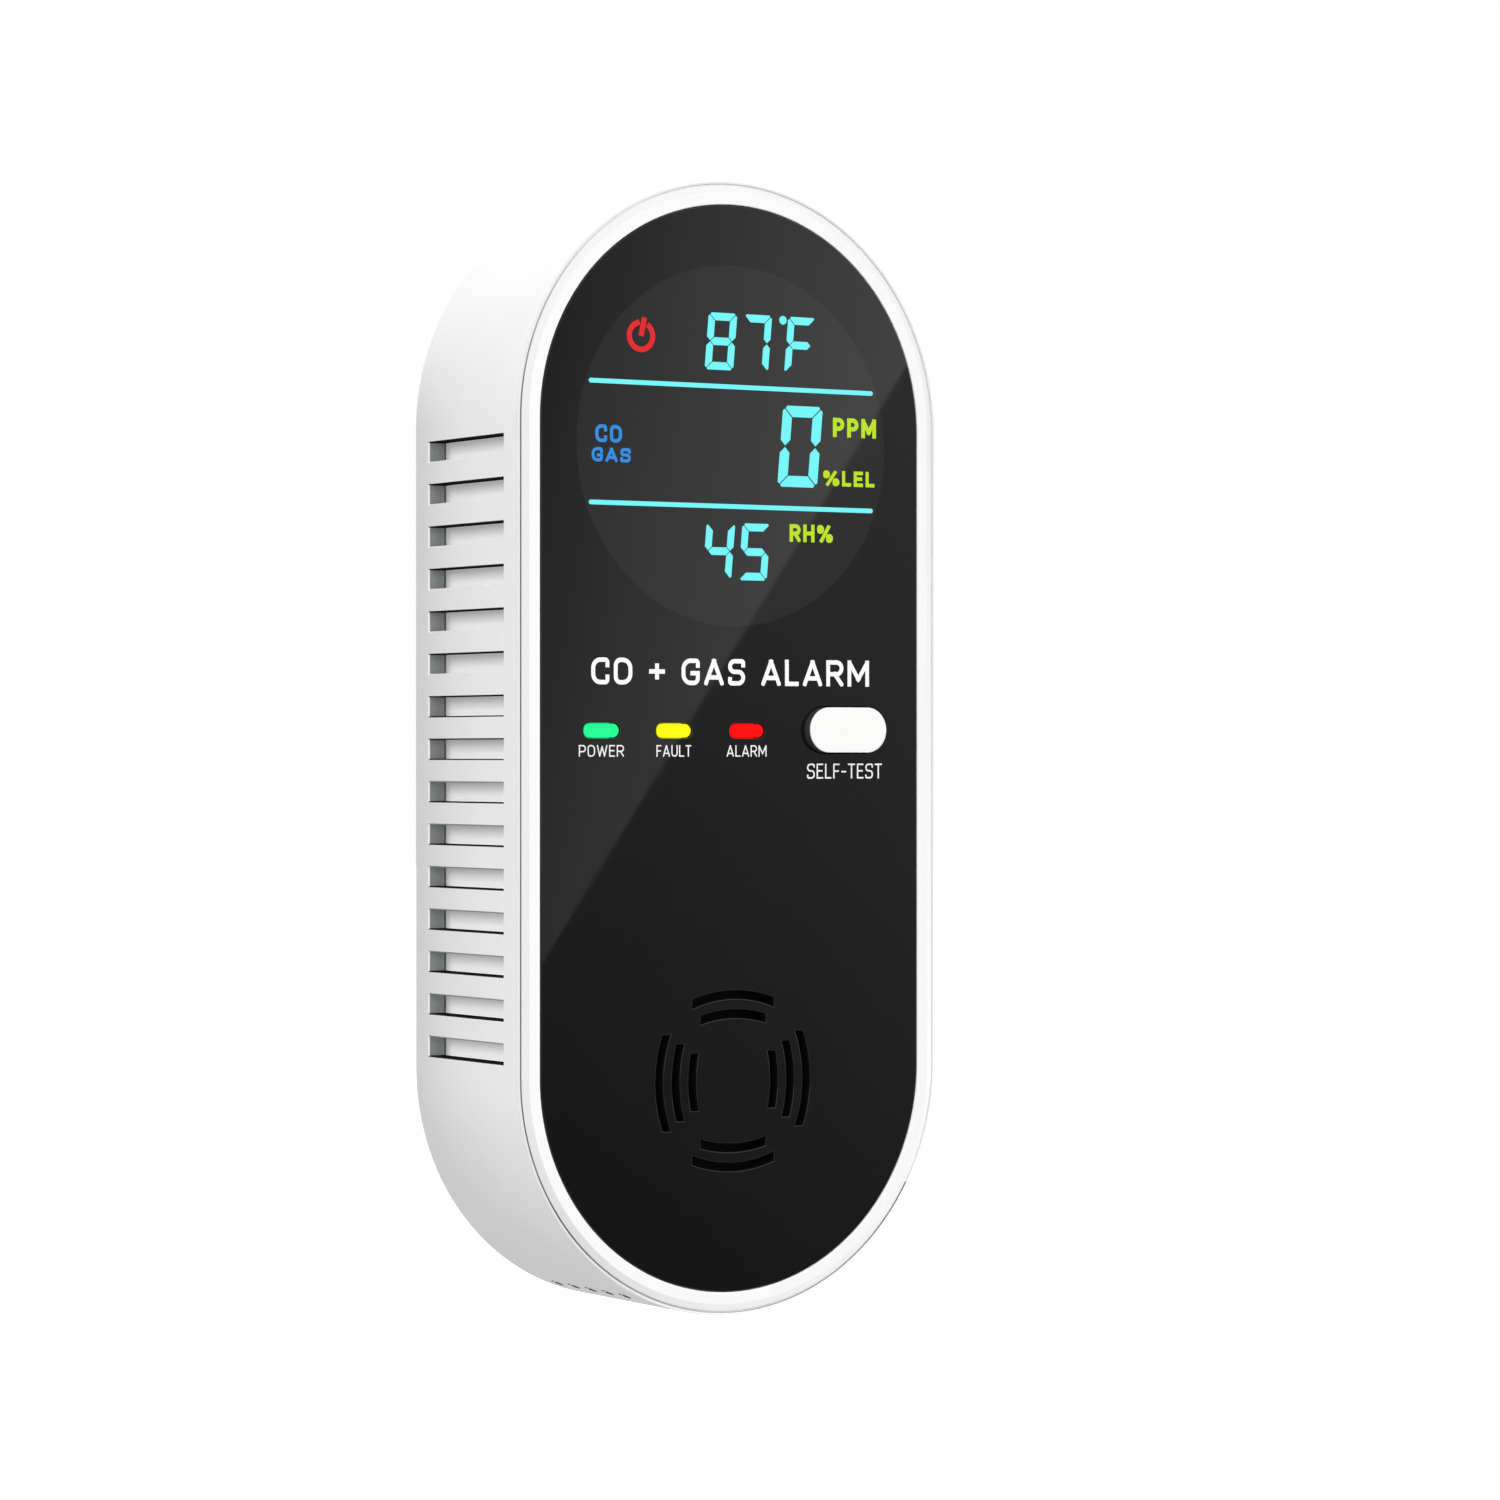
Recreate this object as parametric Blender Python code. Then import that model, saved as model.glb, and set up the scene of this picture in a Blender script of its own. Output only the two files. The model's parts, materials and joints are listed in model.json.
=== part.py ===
"""Plug-in carbon monoxide and gas detector, built as an assembly.

The frame is in metres. The origin is the centre of the plug head's wall face, between the two
blades. +Y runs into the wall, so the display faces -Y, and +Z is up. A "depth" below is measured
from the flat front of the detector towards the wall.
"""

import math

import bmesh
import bpy
from mathutils import Matrix, Vector

MM = 0.001

# Driving dimensions of the case
BODY_WIDTH = 52.6 * MM
BODY_HEIGHT = 122.0 * MM
BODY_DEPTH = 23.45 * MM
COLLAR_DEPTH = 4.87 * MM
HEAD_DEPTH = 5.07 * MM
PLUG_RADIUS = 19.9 * MM

# Derived places: the case is a stadium, whose upper end is concentric with the plug
END_RADIUS = BODY_WIDTH / 2
HALF_STRAIGHT = BODY_HEIGHT / 2 - END_RADIUS
BODY_Z = -34.64 * MM
UPPER_ARC_Z = BODY_Z + HALF_STRAIGHT
LOWER_ARC_Z = BODY_Z - HALF_STRAIGHT
FRONT_Y = -(BODY_DEPTH + COLLAR_DEPTH + HEAD_DEPTH)

# Walls and seams
WALL = 1.7 * MM
BACK_WALL = 2.0 * MM
BACK_INSIDE = BODY_DEPTH - BACK_WALL
GAP = 0.3 * MM
FINE_GAP = 0.15 * MM
EDGE_ROUND = 0.4 * MM

# Front window and the ring around it
WINDOW_RADIUS = 23.65 * MM
WINDOW_THICKNESS = 1.5 * MM
RING_SEAT_RADIUS = WINDOW_RADIUS + 0.1 * MM
RING_CREASE_RADIUS = 25.2 * MM
RING_EDGE_RADIUS = 25.7 * MM
RING_BEVEL_DEPTH = 0.28 * MM
RING_NEST_DEPTH = 2.3 * MM
LEDGE_RADIUS = 22.0 * MM
LEDGE_BACK = 3.0 * MM
RIM_INNER_RADIUS = RING_EDGE_RADIUS + 0.2 * MM
RIM_FRONT = 0.32 * MM
SKIRT_OUTER_RADIUS = END_RADIUS - WALL - 0.35 * MM
SKIRT_THICKNESS = 1.2 * MM
SKIRT_BACK = 20.2 * MM

# Vents in the side walls and in the lower end
SLOT_COUNT = 15
SLOT_PITCH = 4.59 * MM
SLOT_HEIGHT = 2.04 * MM
SLOT_FRONT = 3.44 * MM
SLOT_BACK = 20.2 * MM
VENT_ROWS = 5
VENT_PITCH_DEPTH = 3.6 * MM
VENT_FIRST_DEPTH = 4.8 * MM
VENT_ROW_ANGLE = math.radians(8.8)
VENT_RADIUS = 0.75 * MM

# Display, indicators, button and sounder grille, seen from the front
DISPLAY_Z = BODY_Z + 32.5 * MM
DISPLAY_RADIUS = 19.4 * MM
INDICATOR_Z = BODY_Z + 1.87 * MM
INDICATOR_X = {"power": -16.28 * MM, "fault": -7.37 * MM, "alarm": 1.76 * MM}
INDICATOR_SIZE = (4.45 * MM, 1.64 * MM)
BUTTON_X = 14.03 * MM
BUTTON_Z = BODY_Z + 2.0 * MM
BUTTON_SIZE = (10.14 * MM, 5.02 * MM)
BUTTON_STANDS_OUT = 1.13 * MM
BUTTON_TRAVEL = 0.5 * MM
GRILLE_Z = BODY_Z - 35.75 * MM
GRILLE_SLOT_WIDTH = 1.03 * MM
GRILLE_CURVE_RADIUS = 14.6 * MM
GRILLE_PITCH = 2.06 * MM
GRILLE_OUTER_REACH = 9.27 * MM
GRILLE_OUTER_HALF_LENGTH = 5.15 * MM
GRILLE_STEP_HALF_LENGTH = 1.03 * MM
GRILLE_ARMS = ((0, 3), (90, 2), (180, 3), (270, 2))

# Boards
BOARD_THICKNESS = 1.6 * MM
MAIN_BOARD_DEPTH = 8.0 * MM
MAIN_BOARD_RADIUS = 22.4 * MM
POWER_BOARD_DEPTH = 11.6 * MM
MAIN_BOARD_BACK = MAIN_BOARD_DEPTH + BOARD_THICKNESS
POWER_BOARD_BACK = POWER_BOARD_DEPTH + BOARD_THICKNESS

# Sensor cells, side by side on the main board
CELL_X = 9.6 * MM
CELL_Z = -59.0 * MM

# Screw places, as (x, z), and heads, as (radius, height)
CASE_SCREWS = (
    (-20.3 * MM, -27.0 * MM),
    (20.3 * MM, -27.0 * MM),
    (-14.35 * MM, LOWER_ARC_Z - 14.35 * MM),
    (14.35 * MM, LOWER_ARC_Z - 14.35 * MM),
)
BOARD_SCREWS = ((-20.3 * MM, -66.0 * MM), (20.3 * MM, -66.0 * MM), (0.0, 20.6 * MM))
POWER_SCREWS = (
    (-13.2 * MM, -43.0 * MM),
    (13.2 * MM, -43.0 * MM),
    (-15.0 * MM, 11.5 * MM),
    (15.0 * MM, 11.5 * MM),
)
CASE_HEAD = (2.5 * MM, 1.4 * MM)
BOARD_HEAD = (2.0 * MM, 1.2 * MM)
POWER_HEAD = (1.9 * MM, 1.2 * MM)
CASE_SCREW_SEAT = 21.7 * MM
SEAT_GAP = 0.1 * MM
CASE_BOSS_RADIUS = 2.9 * MM
CASE_PILOT_RADIUS = 1.6 * MM
CASE_PILOT_FRONT = 10.5 * MM
BOARD_BOSS_RADIUS = 2.3 * MM
SMALL_PILOT_RADIUS = 1.2 * MM

# Bayonet between the collar and the plug head, angles about the plug axis
BAYONET_COUNT = 3
BAYONET_TWIST = math.radians(36)
LUG_ANGLE = math.radians(28)
NOTCH_ANGLE = math.radians(36)
HUB_RADIUS = 12.6 * MM
COLLAR_BORE_RADIUS = 13.0 * MM
LUG_RADIUS = 14.8 * MM
POCKET_RADIUS = 15.2 * MM
HUB_FRONT = 24.5 * MM
LUG_BACK = 25.9 * MM
COLLAR_LEDGE_FRONT = 26.3 * MM
COLLAR_BACK = BODY_DEPTH + COLLAR_DEPTH
HEAD_FRONT = COLLAR_BACK + FINE_GAP
HEAD_BACK = COLLAR_BACK + HEAD_DEPTH
HEAD_EDGE_ROUND = 0.6 * MM

# Plug blades, two parallel flat blades of the NEMA 1-15 pattern
BLADE_X = 6.35 * MM
BLADE_HEIGHT = 6.35 * MM
BLADE_THICKNESS = 1.5 * MM
BLADE_LENGTH = 17.0 * MM
BLADE_SHOULDER = 0.1 * MM
BLADE_TAIL_DEPTH = 24.2 * MM
BLADE_TAIL_THICKNESS = 1.3 * MM
BLADE_TIP_RADIUS = 4.6 * MM
BLADE_HOLE_RADIUS = 1.5 * MM
BLADE_HOLE_FROM_TIP = 5.4 * MM

# Spring contacts behind the blades' tails
CONTACT_WIDTH = 3.5 * MM
CONTACT_REACH = 4.0 * MM
CONTACT_THICKNESS = 0.5 * MM
CONTACT_BACK = BLADE_TAIL_DEPTH - GAP

# Release latch under the plug collar
LATCH_NUB = ((-3.5 * MM, 3.5 * MM), (-21.5 * MM, -18.6 * MM))
LATCH_NUB_BACK = BODY_DEPTH + 2.55 * MM
LATCH_PLATE = ((-4.2 * MM, 4.2 * MM), (-22.4 * MM, -15.8 * MM))
LATCH_PLATE_DEPTHS = (19.6 * MM, 21.15 * MM)
LATCH_PIN_Z = -16.9 * MM
LATCH_PIN_RADIUS = 0.75 * MM
LATCH_PIN_BACK = 29.4 * MM
LATCH_GROOVE_DEPTH = 1.3 * MM
LATCH_SPRING_Z = -19.2 * MM

# Faceting of round shapes
STADIUM_STEPS = 24
ROUND_STEPS = 48
SMALL_STEPS = 20
TINY_STEPS = 12
SCREW_STEPS = 16
CELL_STEPS = 32
VENT_STEPS = 8


def y_at(depth):
    """World Y of a depth behind the flat front."""
    return FRONT_Y + depth


# ---------------------------------------------------------------- materials


def principled(name, colour, roughness, metallic=0.0):
    material = bpy.data.materials.new(name)
    material.use_nodes = True
    shader = material.node_tree.nodes["Principled BSDF"]
    shader.inputs["Base Color"].default_value = (*colour, 1.0)
    shader.inputs["Roughness"].default_value = roughness
    shader.inputs["Metallic"].default_value = metallic
    material.diffuse_color = (*colour, 1.0)
    return material


# name: (linear colour, roughness, metallic)
FINISHES = {
    "case_white": ((0.86, 0.86, 0.86), 0.38, 0.0),
    "window_black": ((0.012, 0.013, 0.014), 0.08, 0.0),
    "button_white": ((0.88, 0.88, 0.88), 0.35, 0.0),
    "latch_grey": ((0.62, 0.62, 0.63), 0.45, 0.0),
    "plug_white": ((0.84, 0.84, 0.84), 0.4, 0.0),
    "blade_metal": ((0.66, 0.65, 0.62), 0.22, 1.0),
    "indicator_green": ((0.02, 0.9, 0.3), 0.3, 0.0),
    "indicator_yellow": ((0.95, 0.85, 0.02), 0.3, 0.0),
    "indicator_red": ((0.9, 0.02, 0.02), 0.3, 0.0),
    "led_package": ((0.82, 0.82, 0.78), 0.4, 0.0),
    "shroud_white": ((0.8, 0.8, 0.79), 0.5, 0.0),
    "display_dark": ((0.04, 0.042, 0.045), 0.4, 0.0),
    "diffuser_film": ((0.06, 0.065, 0.068), 0.3, 0.0),
    "board_green": ((0.02, 0.16, 0.07), 0.42, 0.0),
    "chip_black": ((0.02, 0.02, 0.022), 0.5, 0.0),
    "sounder_black": ((0.025, 0.025, 0.025), 0.45, 0.0),
    "gasket_foam": ((0.05, 0.05, 0.05), 0.9, 0.0),
    "sensor_steel": ((0.55, 0.55, 0.54), 0.3, 1.0),
    "sensor_resin": ((0.03, 0.03, 0.03), 0.5, 0.0),
    "sensor_white": ((0.8, 0.8, 0.78), 0.45, 0.0),
    "transformer_core": ((0.09, 0.085, 0.08), 0.6, 0.0),
    "transformer_tape": ((0.75, 0.55, 0.05), 0.45, 0.0),
    "capacitor_sleeve": ((0.02, 0.03, 0.05), 0.35, 0.0),
    "film_capacitor_yellow": ((0.72, 0.5, 0.05), 0.4, 0.0),
    "varistor_blue": ((0.02, 0.12, 0.45), 0.4, 0.0),
    "fuse_ceramic": ((0.75, 0.74, 0.7), 0.4, 0.0),
    "carrier_natural": ((0.7, 0.69, 0.64), 0.5, 0.0),
    "contact_brass": ((0.7, 0.5, 0.2), 0.3, 1.0),
    "spring_steel": ((0.6, 0.6, 0.6), 0.25, 1.0),
    "screw_steel": ((0.5, 0.5, 0.5), 0.3, 1.0),
    "switch_steel": ((0.6, 0.6, 0.58), 0.3, 1.0),
}
MATERIALS = {}


# ---------------------------------------------------------------- outlines, as lists of (x, z)


def stadium_outline(radius):
    """The case outline, offset to this end radius, anticlockwise from the right."""
    points = []
    for centre_z, first in ((UPPER_ARC_Z, 0.0), (LOWER_ARC_Z, math.pi)):
        for step in range(STADIUM_STEPS + 1):
            angle = first + math.pi * step / STADIUM_STEPS
            points.append((radius * math.cos(angle), centre_z + radius * math.sin(angle)))
    return points


def circle_outline(x, z, radius, steps):
    turns = [2 * math.pi * step / steps for step in range(steps)]
    return [(x + radius * math.cos(turn), z + radius * math.sin(turn)) for turn in turns]


def pill_outline(x, z, width, height, steps=6):
    radius = height / 2
    reach = width / 2 - radius
    points = []
    for side, first in ((reach, -math.pi / 2), (-reach, math.pi / 2)):
        for step in range(steps + 1):
            angle = first + math.pi * step / steps
            points.append((x + side + radius * math.cos(angle), z + radius * math.sin(angle)))
    return points


def box_outline(x_range, z_range):
    (x0, x1), (z0, z1) = x_range, z_range
    return [(x0, z0), (x1, z0), (x1, z1), (x0, z1)]


def shrunk(ends, inset):
    return (ends[0] + inset, ends[1] - inset)


def bayonet_angles():
    """Where the bayonet's notches are, about the plug axis, counted from the top."""
    return [math.pi / 2 + 2 * math.pi * index / BAYONET_COUNT for index in range(BAYONET_COUNT)]


def sector_outline(inner, outer, middle, width, steps=4):
    """A ring sector about the plug axis, between two radii and centred on an angle."""
    angles = [middle - width / 2 + width * step / steps for step in range(steps + 1)]
    far = [(outer * math.cos(a), outer * math.sin(a)) for a in angles]
    near = [(inner * math.cos(a), inner * math.sin(a)) for a in reversed(angles)]
    return far + near


def grille_slot_outline(reach, half_length, arm_degrees, steps=6):
    """One bowed sounder slot with ends cut straight, on an arm from the grille's centre."""
    half_width = GRILLE_SLOT_WIDTH / 2
    rows = []
    for side in (half_width, -half_width):
        radius = GRILLE_CURVE_RADIUS + side
        row = []
        for step in range(steps + 1):
            across = half_length * (2 * step / steps - 1)
            sag = radius - math.sqrt(radius * radius - across * across)
            row.append((reach + side - sag, across))
        rows.append(row)
    turn = Matrix.Rotation(math.radians(arm_degrees), 2)
    corners = rows[0] + rows[1][::-1]
    turned = [turn @ Vector(corner) for corner in corners]
    return [(point.x, GRILLE_Z + point.y) for point in turned]


# ---------------------------------------------------------------- solids


def add_object(name, mesh, material, parent=None, location=None):
    item = bpy.data.objects.new(name, mesh)
    bpy.context.scene.collection.objects.link(item)
    if material is not None:
        item.data.materials.append(MATERIALS[material])
    if location is not None:
        item.location = location
    if parent is not None:
        item.parent = parent
    return item


def finish_mesh(name, shape, smooth):
    """Closes a bmesh into a mesh, with its faces pointing out."""
    bmesh.ops.remove_doubles(shape, verts=shape.verts, dist=1e-7)
    bmesh.ops.recalc_face_normals(shape, faces=shape.faces)
    mesh = bpy.data.meshes.new(name)
    shape.to_mesh(mesh)
    shape.free()
    if smooth:
        mesh.shade_smooth()
        mesh.set_sharp_from_angle(angle=math.radians(35))
    return mesh


def loft_mesh(name, rings, closed=False, smooth=True):
    """A solid through rings of points. A closed loft joins its last ring to its first one."""
    shape = bmesh.new()
    rows = [[shape.verts.new(point) for point in ring] for ring in rings]
    pairs = list(zip(rows, rows[1:]))
    if closed:
        pairs.append((rows[-1], rows[0]))
    for first, second in pairs:
        count = len(first)
        for index in range(count):
            after = (index + 1) % count
            shape.faces.new((first[index], first[after], second[after], second[index]))
    if not closed:
        shape.faces.new(rows[0][::-1])
        shape.faces.new(rows[-1])
    return finish_mesh(name, shape, smooth)


def stadium_rings(profile):
    """Rings of the case outline for a profile of (radius, depth) pairs."""
    rings = []
    for radius, depth in profile:
        rings.append([(x, y_at(depth), z) for x, z in stadium_outline(radius)])
    return rings


def turned_mesh(name, profile, steps=SMALL_STEPS):
    """A solid of revolution about the local Y axis, from (radius, y) pairs, y counted from 0."""
    rings = []
    for radius, y in profile:
        rings.append([(x, y, z) for x, z in circle_outline(0.0, 0.0, radius, steps)])
    return loft_mesh(name, rings)


def turned(name, profile, centre, front, material, steps=SMALL_STEPS, parent=None):
    """A turned solid on the axis through centre, an (x, z) pair, with y counted from front."""
    mesh = turned_mesh(name, profile, steps)
    place = (centre[0], y_at(front), centre[1])
    return add_object(name, mesh, material, parent, place)


def plate(name, outlines, front, back, material=None, parent=None, smooth=True):
    """A flat solid between two depths: the first outline is its edge, the others are holes."""
    curve = bpy.data.curves.new(name, "CURVE")
    curve.dimensions = "2D"
    curve.fill_mode = "BOTH"
    curve.extrude = (back - front) / 2
    for outline in outlines:
        spline = curve.splines.new("POLY")
        spline.points.add(len(outline) - 1)
        for point, (x, z) in zip(spline.points, outline):
            point.co = (x, z, 0.0, 1.0)
        spline.use_cyclic_u = True
    flat = bpy.data.objects.new(name, curve)
    bpy.context.scene.collection.objects.link(flat)
    bpy.context.view_layer.update()
    mesh = bpy.data.meshes.new_from_object(flat)
    bpy.data.objects.remove(flat)
    bpy.data.curves.remove(curve)
    upright = Matrix.Rotation(math.pi / 2, 4, "X")
    mesh.transform(Matrix.Translation((0, y_at((front + back) / 2), 0)) @ upright)
    shape = bmesh.new()
    shape.from_mesh(mesh)
    bpy.data.meshes.remove(mesh)
    return add_object(name, finish_mesh(name, shape, smooth), material, parent)


def block(name, x_range, depths, z_range, material=None, parent=None, bevel=0.0):
    """A box, with a small bevel along its edges where one is given."""
    item = plate(name, [box_outline(x_range, z_range)], *depths, material, parent, smooth=False)
    if bevel:
        edges = item.modifiers.new("Bevel", "BEVEL")
        edges.width = bevel
        edges.segments = 1
        edges.limit_method = "ANGLE"
    return item


def cut(item, cutter, operation="DIFFERENCE"):
    """Cuts, joins or trims with a helper object that the finished model leaves out."""
    cutter.hide_render = True
    cutter.display_type = "WIRE"
    cutter.parent = item.parent
    change = item.modifiers.new(cutter.name, "BOOLEAN")
    change.operation = operation
    change.solver = "EXACT"
    change.object = cutter
    return item


def join(item, cutter):
    return cut(item, cutter, "UNION")


def joined_cutters(name, meshes):
    """One helper from several separate meshes, given as (mesh, matrix) pairs."""
    shape = bmesh.new()
    for mesh, place in meshes:
        piece = mesh.copy()
        piece.transform(place)
        shape.from_mesh(piece)
        bpy.data.meshes.remove(piece)
    mesh = bpy.data.meshes.new(name)
    shape.to_mesh(mesh)
    shape.free()
    return add_object(name, mesh, None)


def pins_at(name, places, radius, front, back, steps=TINY_STEPS):
    """Round helpers along Y at (x, z) places, between two depths."""
    mesh = turned_mesh(name, [(radius, 0.0), (radius, back - front)], steps)
    return joined_cutters(
        name, [(mesh, Matrix.Translation((x, y_at(front), z))) for x, z in places]
    )


# ---------------------------------------------------------------- case


def side_slots():
    """A row of boxes that runs across the case and opens a vent in both side walls."""
    box = bmesh.new()
    bmesh.ops.create_cube(box, size=1.0)
    size = (BODY_WIDTH + 4 * MM, SLOT_BACK - SLOT_FRONT, SLOT_HEIGHT)
    bmesh.ops.scale(box, vec=size, verts=box.verts)
    mesh = bpy.data.meshes.new("slot")
    box.to_mesh(mesh)
    box.free()
    middle = y_at((SLOT_FRONT + SLOT_BACK) / 2)
    places = []
    for index in range(SLOT_COUNT):
        z = BODY_Z + (index - (SLOT_COUNT - 1) / 2) * SLOT_PITCH
        places.append((mesh, Matrix.Translation((0, middle, z))))
    return joined_cutters("side_slot_cutter", places)


def lower_vents():
    """Radial pins for the five rows of round vents in the lower end."""
    reach = 4 * MM
    length = 2 * reach
    mesh = turned_mesh("vent", [(VENT_RADIUS, -reach), (VENT_RADIUS, length - reach)], VENT_STEPS)
    mesh.transform(Matrix.Rotation(math.pi / 2, 4, "X"))
    places = []
    for row in range(VENT_ROWS):
        angle = (row - (VENT_ROWS - 1) / 2) * VENT_ROW_ANGLE
        turn = Matrix.Rotation(angle, 4, "Y")
        out = turn @ Vector((0, 0, -(END_RADIUS - WALL / 2)))
        for column in range(VENT_ROWS):
            depth = VENT_FIRST_DEPTH + column * VENT_PITCH_DEPTH
            place = Vector((out.x, y_at(depth), LOWER_ARC_Z + out.z))
            places.append((mesh, Matrix.Translation(place) @ turn))
    return joined_cutters("lower_vent_cutter", places)


def rear_housing():
    inner = END_RADIUS - WALL
    half = EDGE_ROUND * (1 - math.sqrt(0.5))
    profile = [
        (RIM_INNER_RADIUS, RIM_FRONT),
        (END_RADIUS - half, RIM_FRONT + half),
        (END_RADIUS, RIM_FRONT + EDGE_ROUND),
        (END_RADIUS, BODY_DEPTH - EDGE_ROUND),
        (END_RADIUS - half, BODY_DEPTH - half),
        (END_RADIUS - EDGE_ROUND, BODY_DEPTH),
    ]
    inside = [
        (inner, BACK_INSIDE),
        (inner, RING_NEST_DEPTH + GAP),
        (RIM_INNER_RADIUS, RING_NEST_DEPTH + GAP),
    ]
    rings = stadium_rings(inside + profile)
    housing = add_object("rear_housing", loft_mesh("rear_housing", rings), "case_white")
    cut(housing, side_slots())
    cut(housing, lower_vents())

    collar = turned_mesh(
        "collar",
        [(PLUG_RADIUS, 0.0), (PLUG_RADIUS, COLLAR_DEPTH + BACK_WALL / 2)],
        ROUND_STEPS,
    )
    start = y_at(BODY_DEPTH - BACK_WALL / 2)
    join(housing, add_object("collar_joiner", collar, None, location=(0, start, 0)))

    lift = 1.0 * MM
    rooted = BACK_INSIDE + lift
    pad_radius = 4.0 * MM
    pad_front = SKIRT_BACK + GAP
    join(housing, pins_at("pad_joiner", CASE_SCREWS, pad_radius, pad_front, rooted, SMALL_STEPS))
    post_front = POWER_BOARD_BACK + GAP
    post_radius = 2.2 * MM
    join(housing, pins_at("post_joiner", POWER_SCREWS, post_radius, post_front, rooted))

    pocket = [(POCKET_RADIUS, 0.0), (POCKET_RADIUS, COLLAR_LEDGE_FRONT - BACK_INSIDE + lift)]
    bore = [(COLLAR_BORE_RADIUS, 0.0), (COLLAR_BORE_RADIUS, COLLAR_DEPTH + BACK_WALL + 2 * lift)]
    for name, steps in (("pocket_cutter", pocket), ("bore_cutter", bore)):
        mesh = turned_mesh(name, steps, ROUND_STEPS)
        cut(housing, add_object(name, mesh, None, location=(0, y_at(BACK_INSIDE - lift), 0)))
    notch_depths = (COLLAR_LEDGE_FRONT - lift, COLLAR_BACK + lift)
    for index, angle in enumerate(bayonet_angles()):
        outline = sector_outline(COLLAR_BORE_RADIUS - lift, POCKET_RADIUS, angle, NOTCH_ANGLE)
        cut(housing, plate(f"notch_cutter_{index}", [outline], *notch_depths))

    (nub_x0, nub_x1), (nub_z0, nub_z1) = LATCH_NUB
    hole = ((nub_x0 - GAP, nub_x1 + GAP), (nub_z0 - GAP, nub_z1 + GAP))
    nub_room = (BACK_INSIDE - lift, LATCH_NUB_BACK + GAP)
    cut(housing, block("latch_hole_cutter", hole[0], nub_room, hole[1]))
    pin_room = LATCH_PIN_RADIUS + GAP
    through = (BACK_INSIDE - lift, COLLAR_BACK + lift)
    cut(housing, pins_at("latch_pin_cutter", [(0.0, LATCH_PIN_Z)], pin_room, *through))

    seat_depths = (CASE_SCREW_SEAT, BODY_DEPTH + lift)
    hole_depths = (pad_front - lift, CASE_SCREW_SEAT + lift)
    pilot_depths = (post_front - lift, BACK_INSIDE - lift)
    seat_radius = CASE_HEAD[0] + 0.4 * MM
    cut(housing, pins_at("screw_seat_cutter", CASE_SCREWS, seat_radius, *seat_depths, SMALL_STEPS))
    cut(housing, pins_at("screw_hole_cutter", CASE_SCREWS, CASE_PILOT_RADIUS, *hole_depths))
    cut(housing, pins_at("post_pilot_cutter", POWER_SCREWS, SMALL_PILOT_RADIUS, *pilot_depths))


def front_bezel():
    skirt_inner = SKIRT_OUTER_RADIUS - SKIRT_THICKNESS
    ledge_front = WINDOW_THICKNESS + FINE_GAP
    profile = [
        (RING_SEAT_RADIUS, 0.0),
        (RING_CREASE_RADIUS, 0.0),
        (RING_EDGE_RADIUS, RING_BEVEL_DEPTH),
        (RING_EDGE_RADIUS, RING_NEST_DEPTH),
        (SKIRT_OUTER_RADIUS, RING_NEST_DEPTH),
        (SKIRT_OUTER_RADIUS, SKIRT_BACK),
        (skirt_inner, SKIRT_BACK),
        (skirt_inner, LEDGE_BACK),
        (LEDGE_RADIUS, LEDGE_BACK),
        (LEDGE_RADIUS, ledge_front),
        (RING_SEAT_RADIUS, ledge_front),
    ]
    mesh = loft_mesh("front_bezel", stadium_rings(profile), closed=True)
    bezel = add_object("front_bezel", mesh, "case_white")
    half_opening = 10.0 * MM
    opening_height = 12.0 * MM
    bottom = LOWER_ARC_Z - END_RADIUS
    opening_z = (bottom - MM, bottom + opening_height)
    depths = (LEDGE_BACK + MM, SKIRT_BACK + MM)
    cut(bezel, block("lower_opening_cutter", (-half_opening, half_opening), depths, opening_z))
    boss_front = 2.2 * MM
    board_seat = MAIN_BOARD_DEPTH - GAP
    case_boss = (CASE_BOSS_RADIUS, boss_front, SKIRT_BACK, SMALL_STEPS)
    join(bezel, pins_at("case_boss_joiner", CASE_SCREWS, *case_boss))
    join(bezel, pins_at("board_boss_joiner", BOARD_SCREWS, BOARD_BOSS_RADIUS, boss_front, board_seat))
    case_pilot = (CASE_PILOT_RADIUS, CASE_PILOT_FRONT, SKIRT_BACK + MM)
    board_pilot = (SMALL_PILOT_RADIUS, LEDGE_BACK, board_seat + MM)
    cut(bezel, pins_at("case_pilot_cutter", CASE_SCREWS, *case_pilot))
    cut(bezel, pins_at("board_pilot_cutter", BOARD_SCREWS, *board_pilot))


def grille_outlines():
    outlines = []
    for arm, count in GRILLE_ARMS:
        for index in range(count):
            reach = GRILLE_OUTER_REACH - index * GRILLE_PITCH
            half_length = GRILLE_OUTER_HALF_LENGTH - index * GRILLE_STEP_HALF_LENGTH
            outlines.append(grille_slot_outline(reach, half_length, arm))
    return outlines


def front_window():
    width, height = INDICATOR_SIZE
    grow = 2 * FINE_GAP
    holes = [
        pill_outline(x, INDICATOR_Z, width + grow, height + grow) for x in INDICATOR_X.values()
    ]
    width, height = BUTTON_SIZE
    holes.append(pill_outline(BUTTON_X, BUTTON_Z, width + 2 * GAP, height + 2 * GAP, steps=10))
    outlines = [stadium_outline(WINDOW_RADIUS), *holes, *grille_outlines()]
    plate("front_window", outlines, 0.0, WINDOW_THICKNESS, "window_black")


# ---------------------------------------------------------------- controls and display


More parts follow.
